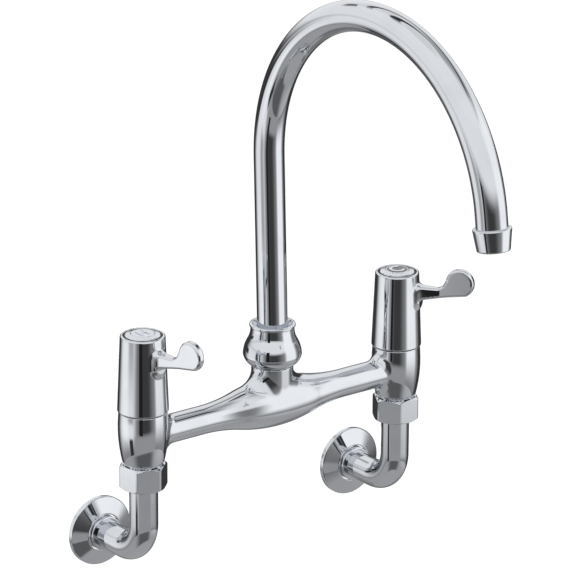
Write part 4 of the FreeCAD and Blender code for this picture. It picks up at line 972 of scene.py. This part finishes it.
def reflected_card(name, points, faces, tones):
    """Glowing card that only reflections see, with a tone at each point."""
    mesh = bpy.data.meshes.new(name)
    mesh.from_pydata(points, [], faces)
    mesh.attributes.new("tone", "FLOAT", "POINT").data.foreach_set("value", tones)
    mesh.materials.append(CARD_TONE)
    card = bpy.data.objects.new(name, mesh)
    card.visible_camera = False
    card.visible_shadow = False
    card.visible_diffuse = False
    bpy.context.scene.collection.objects.link(card)


def tone_sheet(name, base, panels, places):
    """Card of the tent under its panels. Places are the (radius, height, across) of its rows."""
    turns = np.linspace(-180, 180, TENT_TURNS)
    points = [tuple(stage_point(turn, radius, height))
              for radius, height, _ in places for turn in turns]
    azimuth = np.tile(turns, len(places))
    across = np.repeat([place[2] for place in places], len(turns))
    width = len(turns)
    faces = [(corner, corner + 1, corner + width + 1, corner + width)
             for corner in range(len(points) - width) if (corner + 1) % width]
    reflected_card(name, points, faces, panel_tones(base, panels, azimuth, across))


def make_tent():
    """Light tent round the faucet: wall, ground and roof with pale and dark panels."""
    heights = np.linspace(TENT_LOW, TENT_HIGH, WALL_ROWS)
    radii = np.linspace(0.002, TENT_RADIUS, DISC_ROWS)
    tone_sheet("tent_wall", WALL_TONE, WALL_PANELS, [(TENT_RADIUS, z, z) for z in heights])
    tone_sheet("tent_ground", GROUND_TONE, GROUND_PANELS, [(r, TENT_LOW, r) for r in radii])
    tone_sheet("tent_roof", ROOF_TONE, ROOF_PANELS, [(r, TENT_HIGH, r) for r in radii])


def make_black_card():
    """Narrow black card near the camera, which draws the dark line down the barrels."""
    forward, left, right, low, high = 0.38, -0.160, -0.070, -0.05, 0.25
    corners = [(left, low), (right, low), (right, high), (left, high)]
    points = [tuple(stage_point(math.degrees(math.atan2(x, forward)), math.hypot(x, forward), z))
              for x, z in corners]
    reflected_card("black_card", points, [(0, 1, 2, 3)], [CARD_BLACK] * len(points))


def make_world():
    """Soft light of the room, seen as a white backdrop."""
    world = bpy.data.worlds.new("studio")
    world.use_nodes = True
    tree = world.node_tree
    tree.nodes.clear()
    soft = add(tree, "ShaderNodeBackground")
    soft.inputs["Color"].default_value = (1, 1, 1, 1)
    soft.inputs["Strength"].default_value = ROOM_LIGHT
    white = add(tree, "ShaderNodeBackground")
    white.inputs["Color"].default_value = (1, 1, 1, 1)
    white.inputs["Strength"].default_value = WHITE
    mix = add(tree, "ShaderNodeMixShader")
    out = add(tree, "ShaderNodeOutputWorld")
    link = tree.links.new
    link(light_path_sum(tree), mix.inputs["Fac"])
    link(soft.outputs[0], mix.inputs[1])
    link(white.outputs[0], mix.inputs[2])
    link(mix.outputs[0], out.inputs["Surface"])
    bpy.context.scene.world = world


def make_floor():
    """Pale floor well below the faucet. It takes the shadow and is seen as white."""
    size, level = 6.0, -0.45
    mesh = bpy.data.meshes.new("floor")
    mesh.from_pydata([(-size, -size, level), (size, -size, level), (size, size, level),
                      (-size, size, level)], [], [(0, 1, 2, 3)])
    material = bpy.data.materials.new("pale_floor")
    material.use_nodes = True
    tree = material.node_tree
    shader = tree.nodes["Principled BSDF"]
    shader.inputs["Base Color"].default_value = (0.9, 0.9, 0.9, 1)
    shader.inputs["Roughness"].default_value = 0.8
    shader.inputs["Emission Color"].default_value = (1, 1, 1, 1)
    lift = add(tree, "ShaderNodeMath", operation="MULTIPLY")
    lift.inputs[1].default_value = FLOOR_GLOW
    tree.links.new(light_path_sum(tree), lift.inputs[0])
    tree.links.new(lift.outputs[0], shader.inputs["Emission Strength"])
    seen = add(tree, "ShaderNodeNewGeometry")
    front = add(tree, "ShaderNodeMath", operation="SUBTRACT")
    front.inputs[0].default_value = 1.0
    tree.links.new(seen.outputs["Backfacing"], front.inputs[1])
    tree.links.new(front.outputs[0], shader.inputs["Alpha"])
    mesh.materials.append(material)
    floor = bpy.data.objects.new("floor", mesh)
    bpy.context.scene.collection.objects.link(floor)


make_camera()
make_world()
make_floor()
make_tent()
make_black_card()
soft_box("left_box", -80, 1.0, 1.3, -0.42, 0.75, 1.0)
soft_box("right_box", 90, 1.0, 1.3, -0.42, 0.75, 1.0)

bpy.context.scene.view_settings.view_transform = "Standard"
